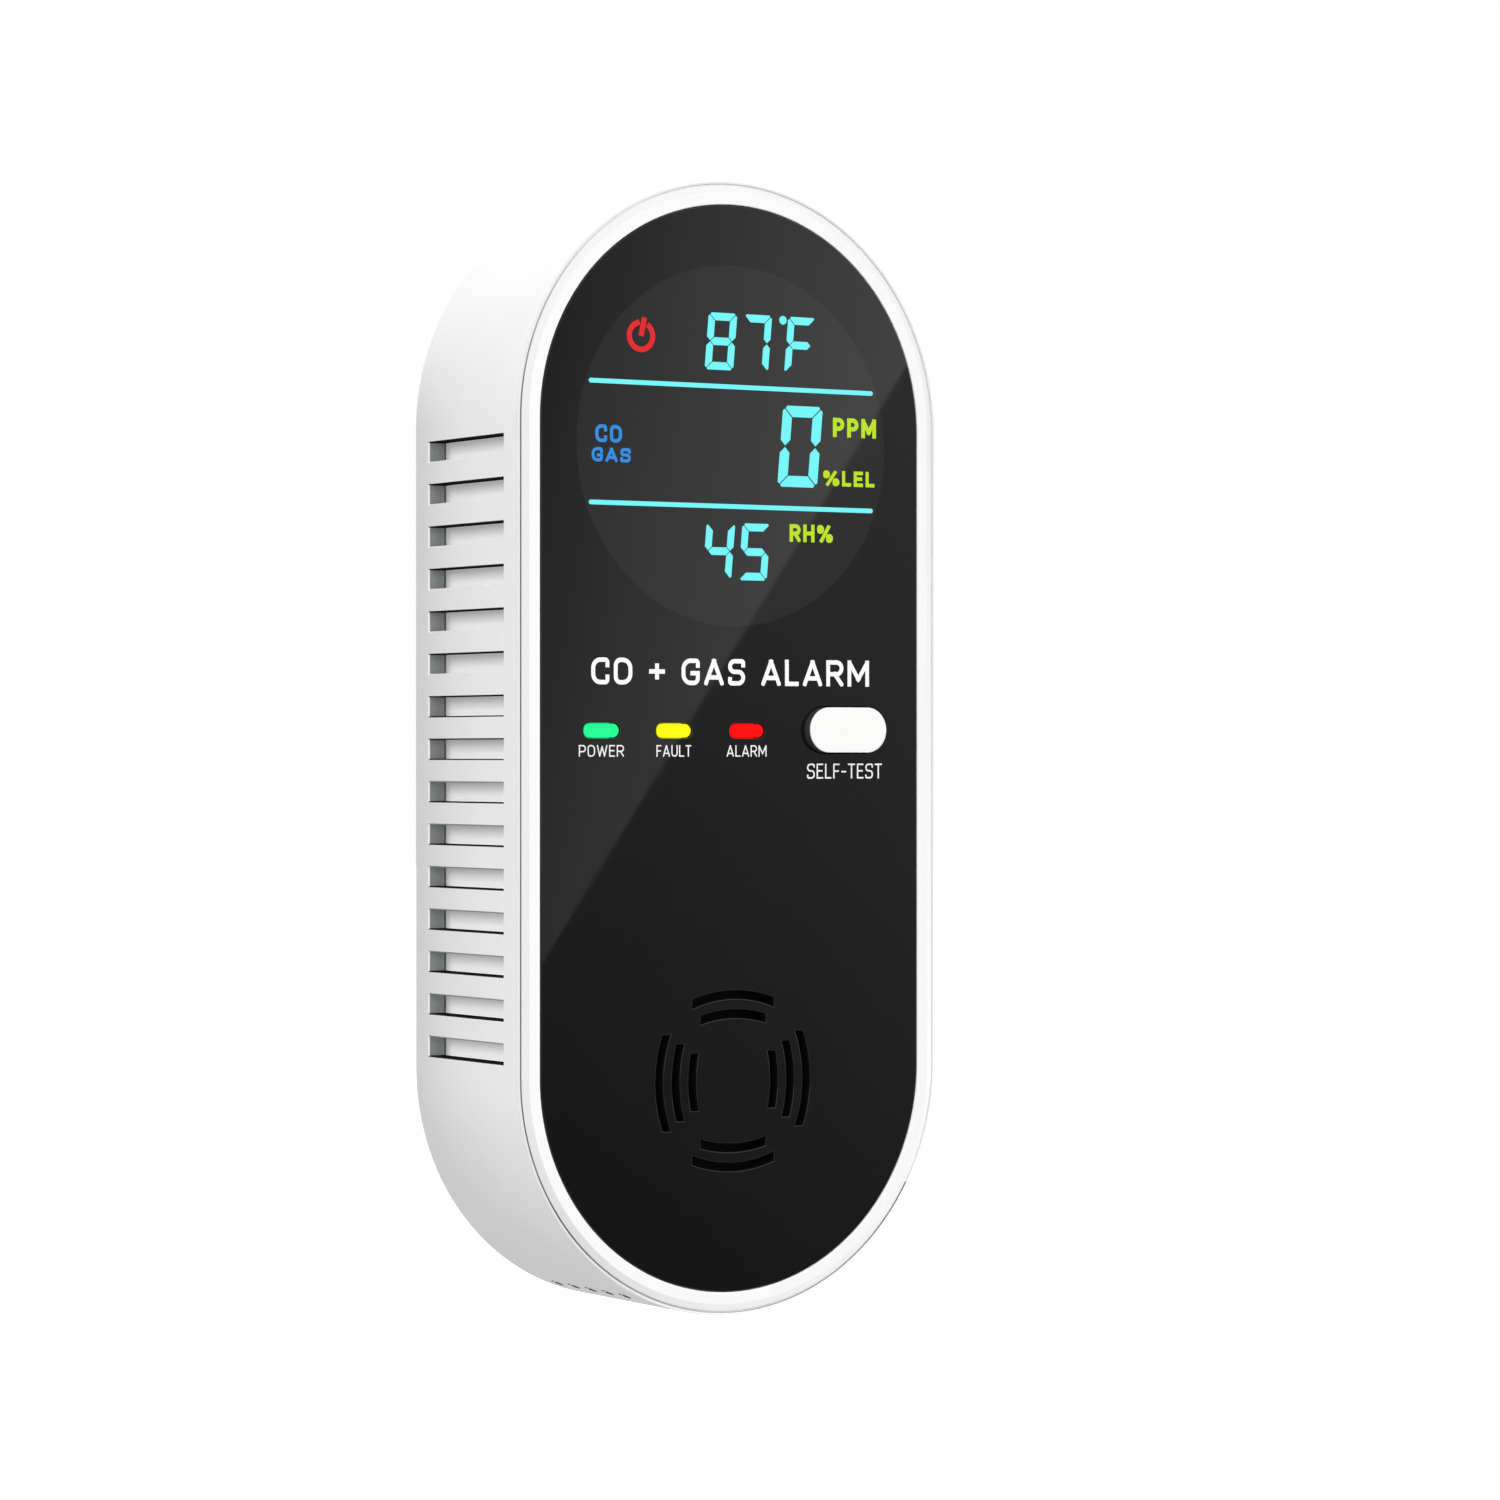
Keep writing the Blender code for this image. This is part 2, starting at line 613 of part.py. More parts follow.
def test_button():
    """The cap, its flange behind the window and the foot that presses the switch."""
    holder = bpy.data.objects.new("test_button_joint", None)
    bpy.context.scene.collection.objects.link(holder)
    holder.location = (BUTTON_X, FRONT_Y, BUTTON_Z)
    bpy.context.view_layer.update()
    width, height = BUTTON_SIZE
    flange_front = 1.9 * MM
    flange_back = 2.7 * MM
    flange_grow = 2.0 * MM
    foot_radius = 1.7 * MM
    foot_back = 3.0 * MM
    cap = pill_outline(BUTTON_X, BUTTON_Z, width, height, steps=10)
    rim = pill_outline(BUTTON_X, BUTTON_Z, width + flange_grow, height + flange_grow, steps=10)
    button = plate("test_button", [cap], -BUTTON_STANDS_OUT, flange_back, "button_white")
    foot = (foot_radius, flange_front, foot_back)
    join(button, plate("button_flange_joiner", [rim], flange_front, flange_back))
    join(button, pins_at("button_foot_joiner", [(BUTTON_X, BUTTON_Z)], *foot))
    for item in (button, *[change.object for change in button.modifiers]):
        item.parent = holder
        item.matrix_parent_inverse = holder.matrix_world.inverted()


def switch():
    """A six millimetre push switch: its body on the board and the plunger in it."""
    half = 3.0 * MM
    body_front = 4.3 * MM
    body_back = MAIN_BOARD_DEPTH - GAP
    plunger_front = 3.3 * MM
    plunger_radius = 1.6 * MM
    well_back = body_front + 1.5 * MM
    plunger_back = well_back - BUTTON_TRAVEL - FINE_GAP
    x_range = (BUTTON_X - half, BUTTON_X + half)
    z_range = (BUTTON_Z - half, BUTTON_Z + half)
    body = block("switch_body", x_range, (body_front, body_back), z_range, "switch_steel")
    well = [(BUTTON_X, BUTTON_Z)]
    cut(body, pins_at("switch_well_cutter", well, plunger_radius + GAP, body_front - MM, well_back))
    profile = [(plunger_radius, 0.0), (plunger_radius, plunger_back - plunger_front)]
    turned("switch_plunger", profile, (BUTTON_X, BUTTON_Z), plunger_front, "chip_black", TINY_STEPS)


def indicators():
    """Three light pipes, the light-proof block around them and the lamps behind them."""
    colours = {"power": "indicator_green", "fault": "indicator_yellow", "alarm": "indicator_red"}
    width, height = INDICATOR_SIZE
    pipe_back = 6.2 * MM
    lamp_front = 6.5 * MM
    lamp_back = MAIN_BOARD_DEPTH - GAP
    lamp_half = (1.6 * MM, 0.7 * MM)
    tunnels = []
    for name, x in INDICATOR_X.items():
        pipe = pill_outline(x, INDICATOR_Z, width, height)
        plate(f"{name}_light_pipe", [pipe], 0.0, pipe_back, colours[name])
        x_range = (x - lamp_half[0], x + lamp_half[0])
        z_range = (INDICATOR_Z - lamp_half[1], INDICATOR_Z + lamp_half[1])
        block(f"{name}_lamp", x_range, (lamp_front, lamp_back), z_range, "led_package")
        tunnels.append(pill_outline(x, INDICATOR_Z, width + 2 * GAP, height + 2 * GAP))
    left = INDICATOR_X["power"] - width / 2 - 1.0 * MM
    right = INDICATOR_X["alarm"] + width / 2 + 1.0 * MM
    half_height = 2.4 * MM
    edge = box_outline((left, right), (INDICATOR_Z - half_height, INDICATOR_Z + half_height))
    front = WINDOW_THICKNESS + GAP
    plate("light_shroud", [edge, *tunnels], front, lamp_back, "shroud_white", smooth=False)


def display():
    """The round segment display and the dark film over its face."""
    film_front = WINDOW_THICKNESS + GAP
    film_thickness = 0.3 * MM
    film = circle_outline(0.0, DISPLAY_Z, DISPLAY_RADIUS, ROUND_STEPS)
    plate("display_film", [film], film_front, film_front + film_thickness, "diffuser_film")
    front = film_front + film_thickness + GAP
    length = MAIN_BOARD_DEPTH - GAP - front
    bevel = 0.4 * MM
    radius = DISPLAY_RADIUS + 0.2 * MM
    profile = [(radius - bevel, 0.0), (radius, bevel), (radius, length)]
    turned("display_module", profile, (0.0, DISPLAY_Z), front, "display_dark", ROUND_STEPS)


def sounder():
    """The piezo sounder behind the grille and the foam ring that seals it to the window."""
    radius = 12.0 * MM
    seal_front = WINDOW_THICKNESS + GAP
    seal_thickness = 0.8 * MM
    inner = 10.1 * MM
    ring = [
        circle_outline(0.0, GRILLE_Z, radius, ROUND_STEPS),
        circle_outline(0.0, GRILLE_Z, inner, ROUND_STEPS),
    ]
    plate("sounder_gasket", ring, seal_front, seal_front + seal_thickness, "gasket_foam")
    front = seal_front + seal_thickness + GAP
    length = MAIN_BOARD_DEPTH - GAP - front
    port_radius = 1.9 * MM
    port_depth = 1.6 * MM
    lip = 0.5 * MM
    profile = [
        (port_radius, port_depth),
        (port_radius, 0.0),
        (radius - lip, 0.0),
        (radius, lip),
        (radius, length),
    ]
    turned("sounder", profile, (0.0, GRILLE_Z), front, "sounder_black", ROUND_STEPS)


# ---------------------------------------------------------------- boards and what they carry


def main_board():
    notch = CASE_BOSS_RADIUS + GAP
    holes = [circle_outline(x, z, SMALL_PILOT_RADIUS, TINY_STEPS) for x, z in BOARD_SCREWS]
    outlines = [stadium_outline(MAIN_BOARD_RADIUS), *holes]
    board = plate("main_board", outlines, MAIN_BOARD_DEPTH, MAIN_BOARD_BACK, "board_green")
    depths = (MAIN_BOARD_DEPTH - MM, MAIN_BOARD_BACK + MM)
    cut(board, pins_at("board_notch_cutter", CASE_SCREWS, notch, *depths, SMALL_STEPS))


def microcontroller():
    half = 3.6 * MM
    height = 1.4 * MM
    centre_z = -77.0 * MM
    front = MAIN_BOARD_BACK + GAP
    z_range = (centre_z - half, centre_z + half)
    place = ((-half, half), (front, front + height), z_range)
    block("microcontroller", *place, "chip_black", bevel=0.2 * MM)


def carbon_monoxide_sensor():
    """An electrochemical cell: a stepped round can with a breathing hole in its top."""
    front = MAIN_BOARD_BACK + GAP
    can_radius = 7.4 * MM
    cap_radius = 6.6 * MM
    hole_radius = 1.2 * MM
    shoulder, shoulder_end, height = 6.2 * MM, 7.0 * MM, 9.6 * MM
    hole_floor = height - 1.2 * MM
    profile = [
        (can_radius, 0.0),
        (can_radius, shoulder),
        (cap_radius, shoulder_end),
        (cap_radius, height),
        (hole_radius, height),
        (hole_radius, hole_floor),
    ]
    centre = (CELL_X, CELL_Z)
    turned("carbon_monoxide_sensor", profile, centre, front, "sensor_white", CELL_STEPS)


def gas_sensor():
    """A heated-bead gas sensor: a resin base and the steel mesh cap that stands on it."""
    centre = (-CELL_X, CELL_Z)
    front = MAIN_BOARD_BACK + GAP
    base_radius, base_thickness = 8.4 * MM, 2.4 * MM
    base = [(base_radius, 0.0), (base_radius, base_thickness)]
    turned("gas_sensor_base", base, centre, front, "sensor_resin", CELL_STEPS)
    flange_radius, flange_thickness = 7.2 * MM, 0.8 * MM
    cap_radius, cap_height = 6.4 * MM, 6.0 * MM
    rounding = 0.8 * MM
    cap = [
        (flange_radius, 0.0),
        (flange_radius, flange_thickness),
        (cap_radius, flange_thickness),
        (cap_radius, cap_height - rounding),
        (cap_radius - rounding, cap_height),
    ]
    cap_front = front + base_thickness + GAP
    turned("gas_sensor_cap", cap, centre, cap_front, "sensor_steel", CELL_STEPS)


def humidity_sensor():
    half = 2.5 * MM
    centre_z = -87.0 * MM
    front = MAIN_BOARD_BACK + GAP
    back = front + 1.4 * MM
    port_radius = 0.9 * MM
    port_depth = 0.6 * MM
    z_range = (centre_z - half, centre_z + half)
    sensor = block("humidity_sensor", (-half, half), (front, back), z_range, "sensor_white")
    port = (port_radius, back - port_depth, back + MM)
    cut(sensor, pins_at("humidity_port_cutter", [(0.0, centre_z)], *port))


def power_board():
    half_width = 16.6 * MM
    top, bottom = 15.0 * MM, -46.5 * MM
    clip = 3.0 * MM
    edge = [
        (-half_width, bottom),
        (half_width, bottom),
        (half_width, top - clip),
        (half_width - clip, top),
        (clip - half_width, top),
        (-half_width, top - clip),
    ]
    holes = [circle_outline(x, z, SMALL_PILOT_RADIUS, TINY_STEPS) for x, z in POWER_SCREWS]
    plate("power_board", [edge, *holes], POWER_BOARD_DEPTH, POWER_BOARD_BACK, "board_green")
    header_z = (-44.6 * MM, -42.0 * MM)
    header_x = (-5.1 * MM, 5.1 * MM)
    header_depths = (MAIN_BOARD_BACK + GAP, POWER_BOARD_DEPTH - GAP)
    block("board_header", header_x, header_depths, header_z, "chip_black")


def transformer():
    """The ferrite core frame, and the taped winding that fills its window."""
    x_range = (-12.0 * MM, 2.0 * MM)
    z_range = (-39.6 * MM, -27.6 * MM)
    front = POWER_BOARD_BACK + GAP
    back = front + 7.3 * MM
    limb = 2.2 * MM
    overhang = 1.2 * MM
    window = (shrunk(x_range, limb), shrunk(z_range, limb))
    wound = (shrunk(x_range, limb + GAP), shrunk(z_range, limb + GAP))
    core = [box_outline(x_range, z_range), box_outline(*window)]
    core_depths = (front + overhang, back - overhang)
    plate("transformer_core", core, *core_depths, "transformer_core", smooth=False)
    place = (wound[0], (front, back), wound[1])
    block("transformer_winding", *place, "transformer_tape", bevel=0.8 * MM)


def can_profile(radius, length):
    """An electrolytic can with a rolled bead near its base and rounded ends."""
    rounding = 0.35 * MM
    bead_start, bead_middle, bead_end = 1.1 * MM, 1.4 * MM, 1.7 * MM
    return [
        (radius - rounding, 0.0),
        (radius, rounding),
        (radius, bead_start),
        (radius - rounding, bead_middle),
        (radius, bead_end),
        (radius, length - rounding),
        (radius - rounding, length),
    ]


def capacitors():
    """The mains reservoir capacitor lies along Z, and the output capacitor stands on the board."""
    front = POWER_BOARD_BACK + GAP
    radius, length = 3.7 * MM, 13.0 * MM
    can = can_profile(radius, length)
    base = (9.6 * MM, -40.4 * MM)
    lying = turned("reservoir_capacitor", can, base, front + radius, "capacitor_sleeve")
    lying.rotation_euler = (math.pi / 2, 0, 0)
    standing_radius, height = 3.0 * MM, 7.0 * MM
    can = can_profile(standing_radius, height)
    turned("output_capacitor", can, (-12.6 * MM, -22.4 * MM), front, "capacitor_sleeve")


def mains_parts():
    """The filter capacitor, surge arrester, bridge rectifier and fuse of the mains side."""
    front = POWER_BOARD_BACK + GAP
    bevel = 0.3 * MM
    film_back = front + 6.8 * MM
    film_box = ((6.2 * MM, 15.6 * MM), (front, film_back), (-24.4 * MM, -19.4 * MM))
    block("filter_capacitor", *film_box, "film_capacitor_yellow", bevel=bevel)
    disc_radius, disc_thickness, rounding = 3.7 * MM, 2.8 * MM, 0.5 * MM
    disc = [
        (disc_radius - rounding, 0.0),
        (disc_radius, rounding),
        (disc_radius, disc_thickness - rounding),
        (disc_radius - rounding, disc_thickness),
    ]
    turned("surge_arrester", disc, (-8.6 * MM, 8.8 * MM), front, "varistor_blue")
    bridge_back = front + 2.5 * MM
    bridge_box = ((5.4 * MM, 11.6 * MM), (front, bridge_back), (5.6 * MM, 10.4 * MM))
    block("bridge_rectifier", *bridge_box, "chip_black", bevel=bevel)
    radius = 1.7 * MM
    cap = 1.8 * MM
    length = 8.4 * MM
    waist = radius - 0.15 * MM
    tube = [
        (radius, 0.0),
        (radius, cap),
        (waist, cap),
        (waist, length - cap),
        (radius, length - cap),
        (radius, length),
    ]
    fuse = turned("fuse", tube, (0.0, 5.0 * MM), front + radius, "fuse_ceramic")
    fuse.rotation_euler = (math.pi / 2, 0, 0)


# ---------------------------------------------------------------- plug


def contact_carrier():
    """The insulator that closes the back of the case and holds the two mains contacts."""
    disc_radius = POCKET_RADIUS - GAP
    flange_radius = 16.4 * MM
    flange_front = 19.7 * MM
    flange_back = BACK_INSIDE - GAP
    disc_back = 22.9 * MM
    flat_z = -15.2 * MM
    profile = [
        (flange_radius, 0.0),
        (flange_radius, flange_back - flange_front),
        (disc_radius, flange_back - flange_front),
        (disc_radius, disc_back - flange_front),
    ]
    axis = (0.0, 0.0)
    carrier = turned("contact_carrier", profile, axis, flange_front, "carrier_natural", ROUND_STEPS)
    below_flat = (-2 * flange_radius, flat_z)
    room = ((-flange_radius, flange_radius), (flange_front - MM, flange_back + MM), below_flat)
    cut(carrier, block("carrier_flat_cutter", *room))
    half_leg = CONTACT_WIDTH / 2 + FINE_GAP
    leg_z = (CONTACT_REACH - CONTACT_THICKNESS - FINE_GAP, CONTACT_REACH + FINE_GAP)
    depths = (flange_front - MM, disc_back + MM)
    for name, x in (("line", BLADE_X), ("neutral", -BLADE_X)):
        cut(carrier, block(f"{name}_leg_cutter", (x - half_leg, x + half_leg), depths, leg_z))


def contact(name, x):
    """A bent spring leaf: a pad behind the blade's tail, and a leg down to the power board."""
    pad_front = CONTACT_BACK - CONTACT_THICKNESS
    leg_front = POWER_BOARD_BACK + GAP
    inside = CONTACT_REACH - CONTACT_THICKNESS
    side_view = [
        (-CONTACT_REACH, pad_front),
        (inside, pad_front),
        (inside, leg_front),
        (CONTACT_REACH, leg_front),
        (CONTACT_REACH, CONTACT_BACK),
        (-CONTACT_REACH, CONTACT_BACK),
    ]
    rings = []
    for edge in (x - CONTACT_WIDTH / 2, x + CONTACT_WIDTH / 2):
        rings.append([(edge, y_at(depth), z) for z, depth in side_view])
    add_object(name, loft_mesh(name, rings, smooth=False), "contact_brass")


def plug_joint():
    holder = bpy.data.objects.new("plug_head_joint", None)
    bpy.context.scene.collection.objects.link(holder)
    return holder


def plug_head(holder):
    rounding = HEAD_EDGE_ROUND * (1 - math.sqrt(0.5))
    profile = [
        (HUB_RADIUS, HUB_FRONT),
        (HUB_RADIUS, HEAD_FRONT),
        (PLUG_RADIUS, HEAD_FRONT),
        (PLUG_RADIUS, HEAD_BACK - HEAD_EDGE_ROUND),
        (PLUG_RADIUS - rounding, HEAD_BACK - rounding),
        (PLUG_RADIUS - HEAD_EDGE_ROUND, HEAD_BACK),
    ]
    head = turned("plug_head", profile, (0.0, 0.0), 0.0, "plug_white", ROUND_STEPS, holder)
    for index, angle in enumerate(bayonet_angles()):
        outline = sector_outline(HUB_RADIUS - MM, LUG_RADIUS, angle + BAYONET_TWIST, LUG_ANGLE)
        join(head, plate(f"lug_joiner_{index}", [outline], HUB_FRONT, LUG_BACK))
    inner = -LATCH_PIN_Z - LATCH_PIN_RADIUS - GAP
    outer = -LATCH_PIN_Z + LATCH_PIN_RADIUS + GAP
    margin = 2 * (LATCH_PIN_RADIUS + GAP) / -LATCH_PIN_Z
    middle = -math.pi / 2 + BAYONET_TWIST / 2
    groove = sector_outline(inner, outer, middle, BAYONET_TWIST + margin, steps=8)
    depths = (HEAD_FRONT - MM, HEAD_FRONT + LATCH_GROOVE_DEPTH)
    cut(head, plate("latch_groove_cutter", [groove], *depths))
    half_x = BLADE_THICKNESS / 2 + FINE_GAP
    half_z = BLADE_HEIGHT / 2 + FINE_GAP
    depths = (HUB_FRONT - MM, HEAD_BACK + MM)
    for name, x in (("line", BLADE_X), ("neutral", -BLADE_X)):
        slot = block(f"{name}_slot_cutter", (x - half_x, x + half_x), depths, (-half_z, half_z))
        cut(head, slot)


def blade(name, x, holder):
    """A flat blade with a round-ended tip, the detent hole near it and a thinner tail in the head."""
    half = BLADE_HEIGHT / 2
    steps = 8
    sweep = math.asin(half / BLADE_TIP_RADIUS)
    tip_centre = BLADE_LENGTH - BLADE_TIP_RADIUS
    side_view = [(-half, BLADE_SHOULDER), (half, BLADE_SHOULDER)]
    for step in range(steps + 1):
        angle = sweep - 2 * sweep * step / steps
        point = (math.sin(angle), math.cos(angle))
        side_view.append((BLADE_TIP_RADIUS * point[0], tip_centre + BLADE_TIP_RADIUS * point[1]))
    rings = []
    for edge in (x - BLADE_THICKNESS / 2, x + BLADE_THICKNESS / 2):
        rings.append([(edge, y, z) for z, y in side_view])
    item = add_object(name, loft_mesh(name, rings, smooth=False), "blade_metal", holder)
    tail_x = (x - BLADE_TAIL_THICKNESS / 2, x + BLADE_TAIL_THICKNESS / 2)
    tail_depths = (BLADE_TAIL_DEPTH, HEAD_BACK + BLADE_SHOULDER + MM)
    inset = (BLADE_THICKNESS - BLADE_TAIL_THICKNESS) / 2
    join(item, block(f"{name}_tail_joiner", tail_x, tail_depths, (inset - half, half - inset)))
    reach = 2 * BLADE_THICKNESS
    hole = [(BLADE_HOLE_RADIUS, -reach), (BLADE_HOLE_RADIUS, reach)]
    pin = turned_mesh(f"{name}_hole", hole, SMALL_STEPS)
    pin.transform(Matrix.Rotation(math.pi / 2, 4, "Z"))
    place = (x, BLADE_LENGTH - BLADE_HOLE_FROM_TIP, 0.0)
    cut(item, add_object(f"{name}_hole_cutter", pin, None, location=place))


def release_latch():
    """The nub under the plug, its plate inside the case and the pin that meets the plug head."""
    front, back = LATCH_PLATE_DEPTHS
    middle = (front + back) / 2
    latch = block("release_latch", LATCH_PLATE[0], (front, back), LATCH_PLATE[1], "latch_grey")
    nub_depths = (middle, LATCH_NUB_BACK)
    nub_bevel = 0.4 * MM
    join(latch, block("latch_nub_joiner", LATCH_NUB[0], nub_depths, LATCH_NUB[1], bevel=nub_bevel))
    pin = (LATCH_PIN_RADIUS, middle, LATCH_PIN_BACK)
    seat_radius = 1.1 * MM
    seat = (seat_radius, front - 1.0 * MM, middle)
    join(latch, pins_at("latch_pin_joiner", [(0.0, LATCH_PIN_Z)], *pin))
    join(latch, pins_at("spring_seat_joiner", [(0.0, LATCH_SPRING_Z)], *seat))


def latch_spring():
    """A coil between the power board and the latch plate."""
    coil_radius = 1.9 * MM
    wire_radius = 0.25 * MM
    turns = 5
    steps_per_turn = 14
    front = POWER_BOARD_BACK + GAP + wire_radius
    back = LATCH_PLATE_DEPTHS[0] - GAP - wire_radius
    count = turns * steps_per_turn
    curve = bpy.data.curves.new("latch_spring", "CURVE")
    curve.dimensions = "3D"
    curve.bevel_depth = wire_radius
    curve.bevel_resolution = 1
    curve.use_fill_caps = True
    spline = curve.splines.new("POLY")
    spline.points.add(count)
    for index, point in enumerate(spline.points):
        angle = 2 * math.pi * index / steps_per_turn
        x = coil_radius * math.cos(angle)
        y = y_at(front + (back - front) * index / count)
        z = LATCH_SPRING_Z + coil_radius * math.sin(angle)
        point.co = (x, y, z, 1.0)
    item = bpy.data.objects.new("latch_spring", curve)
    bpy.context.scene.collection.objects.link(item)
    curve.materials.append(MATERIALS["spring_steel"])


# ---------------------------------------------------------------- fasteners


def screws(name, places, head, shank_radius, length, seat, towards_wall=True):
    """Round-headed screws along Y with a dished drive recess. A head is (radius, height)."""
    head_radius, head_height = head
    crown_radius = 0.8 * head_radius
    crown_start = 0.6 * head_height
    recess_radius = 0.42 * head_radius
    profile = [
        (shank_radius / 2, -length),
        (shank_radius, -length + shank_radius),
        (shank_radius, 0.0),
        (head_radius, 0.0),
        (head_radius, crown_start),
        (crown_radius, head_height),
        (recess_radius, head_height),
        (recess_radius / 2, head_height / 2),
    ]
    mesh = turned_mesh(name, profile, SCREW_STEPS)
    mesh.materials.append(MATERIALS["screw_steel"])
    for index, (x, z) in enumerate(places, start=1):
        item = add_object(f"{name}_{index}", mesh, None, location=(x, y_at(seat), z))
        item.rotation_euler = (0, 0, 0 if towards_wall else math.pi)


def all_screws():
    """The power board's screws enter from the display side, all others from the wall side."""
    case_seat = CASE_SCREW_SEAT + SEAT_GAP
    board_seat = MAIN_BOARD_BACK + SEAT_GAP
    power_seat = POWER_BOARD_DEPTH - SEAT_GAP
    screws("case_screw", CASE_SCREWS, CASE_HEAD, 1.25 * MM, 10.5 * MM, case_seat)
    screws("board_screw", BOARD_SCREWS, BOARD_HEAD, 0.9 * MM, 5.6 * MM, board_seat)
    screws("power_board_screw", POWER_SCREWS, POWER_HEAD, 0.9 * MM, 6.0 * MM, power_seat, False)


def main():
    for item in list(bpy.data.objects):
        bpy.data.objects.remove(item)
    for name, (colour, roughness, metallic) in FINISHES.items():
        MATERIALS[name] = principled(name, colour, roughness, metallic)

    rear_housing()
    front_bezel()
    front_window()
    test_button()
    switch()
    indicators()
    display()
    sounder()
    main_board()
    microcontroller()
    carbon_monoxide_sensor()
    gas_sensor()
    humidity_sensor()
    power_board()
    transformer()
    capacitors()
    mains_parts()
    contact_carrier()
    contact("line_contact", BLADE_X)
    contact("neutral_contact", -BLADE_X)
    holder = plug_joint()
    plug_head(holder)
    blade("line_blade", BLADE_X, holder)
    blade("neutral_blade", -BLADE_X, holder)
    release_latch()
    latch_spring()
    all_screws()


main()
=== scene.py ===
"""Looks of the plug-in carbon monoxide and gas detector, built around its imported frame.

Lengths are metres in the frame's axes: the origin is the centre of the plug head's wall face, the
display faces -Y and +Z is up. A "depth" is measured from the flat front towards the wall. Outlines
are lists of (x, z) points, and profiles are lists of (radius, depth) points.
"""

import json
import math

import bmesh
import bpy
from mathutils import Matrix, Vector
from mathutils.geometry import delaunay_2d_cdt

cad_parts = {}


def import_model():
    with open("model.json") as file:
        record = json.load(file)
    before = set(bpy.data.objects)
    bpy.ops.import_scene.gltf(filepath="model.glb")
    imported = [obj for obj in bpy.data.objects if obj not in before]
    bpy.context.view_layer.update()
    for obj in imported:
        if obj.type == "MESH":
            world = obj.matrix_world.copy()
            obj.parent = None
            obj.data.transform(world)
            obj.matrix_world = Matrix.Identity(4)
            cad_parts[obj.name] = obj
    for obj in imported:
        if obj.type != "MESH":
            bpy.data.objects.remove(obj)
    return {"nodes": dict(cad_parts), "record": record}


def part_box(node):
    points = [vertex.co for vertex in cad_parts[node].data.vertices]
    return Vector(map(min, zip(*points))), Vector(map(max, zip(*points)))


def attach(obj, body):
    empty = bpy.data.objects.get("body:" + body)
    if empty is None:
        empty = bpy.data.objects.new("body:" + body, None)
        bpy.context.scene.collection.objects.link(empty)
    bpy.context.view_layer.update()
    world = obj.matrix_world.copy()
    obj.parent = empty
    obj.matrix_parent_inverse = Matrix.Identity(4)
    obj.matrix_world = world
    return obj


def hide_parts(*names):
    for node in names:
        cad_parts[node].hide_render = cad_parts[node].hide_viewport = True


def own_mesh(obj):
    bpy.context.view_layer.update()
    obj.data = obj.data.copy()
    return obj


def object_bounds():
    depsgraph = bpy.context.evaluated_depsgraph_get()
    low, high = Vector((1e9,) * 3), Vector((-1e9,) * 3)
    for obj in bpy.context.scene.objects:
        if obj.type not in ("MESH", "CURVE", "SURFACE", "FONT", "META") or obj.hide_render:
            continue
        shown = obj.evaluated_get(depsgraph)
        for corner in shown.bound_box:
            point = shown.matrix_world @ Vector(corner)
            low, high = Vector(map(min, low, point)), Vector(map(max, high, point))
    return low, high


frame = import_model()
CAD_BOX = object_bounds()
MM = 0.001

# ---- sizes, from the frame

CASE_LOW, CASE_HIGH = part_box("rear_housing")
WINDOW_LOW, WINDOW_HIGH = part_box("front_window")
BEZEL_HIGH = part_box("front_bezel")[1]
HEAD_LOW, HEAD_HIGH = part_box("plug_head")
FILM_LOW, FILM_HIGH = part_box("display_film")
SOUNDER_LOW, SOUNDER_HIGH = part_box("sounder")
BUTTON_LOW, BUTTON_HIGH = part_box("test_button")
LATCH_LOW, LATCH_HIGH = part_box("release_latch")

FRONT_Y = WINDOW_LOW.y
END_RADIUS = CASE_HIGH.x
UPPER_Z = CASE_HIGH.z - END_RADIUS
LOWER_Z = CASE_LOW.z + END_RADIUS
MIDDLE_Z = (UPPER_Z + LOWER_Z) / 2
WINDOW_RADIUS = WINDOW_HIGH.x
WINDOW_THICKNESS = WINDOW_HIGH.y - WINDOW_LOW.y
PLUG_RADIUS = HEAD_HIGH.x
DISPLAY_Z = (FILM_LOW.z + FILM_HIGH.z) / 2
READINGS_Z = DISPLAY_Z + 0.22 * MM
GRILLE_Z = (SOUNDER_LOW.z + SOUNDER_HIGH.z) / 2
COLLAR_BACK = CASE_HIGH.y - FRONT_Y
RIM_FRONT = CASE_LOW.y - FRONT_Y
HEAD_BACK = HEAD_HIGH.y - FRONT_Y
HUB_FRONT = HEAD_LOW.y - FRONT_Y
SKIRT_BACK = BEZEL_HIGH.y - FRONT_Y

# Sections of the two shells
BODY_DEPTH = 23.45 * MM
WALL = 1.95 * MM
BACK_INSIDE = BODY_DEPTH - 2.0 * MM
GAP = 0.3 * MM
FINE_GAP = 0.15 * MM
EDGE_ROUND = 0.4 * MM
RIM_ROUND = 0.22 * MM
RING_SEAT = WINDOW_RADIUS + 0.1 * MM
RING_CREASE = 25.05 * MM
RING_EDGE = BEZEL_HIGH.x + 0.13 * MM
RING_BEVEL_DEPTH = 0.34 * MM
RING_NEST_DEPTH = 2.3 * MM
GROOVE_DEPTH = RIM_FRONT + 0.15 * MM
RIM_INNER = RING_EDGE + 0.17 * MM
LEDGE_RADIUS = 22.0 * MM
LEDGE_BACK = 3.0 * MM
SKIRT_OUTER = END_RADIUS - WALL - 0.1 * MM
SKIRT_INNER = SKIRT_OUTER - 1.2 * MM

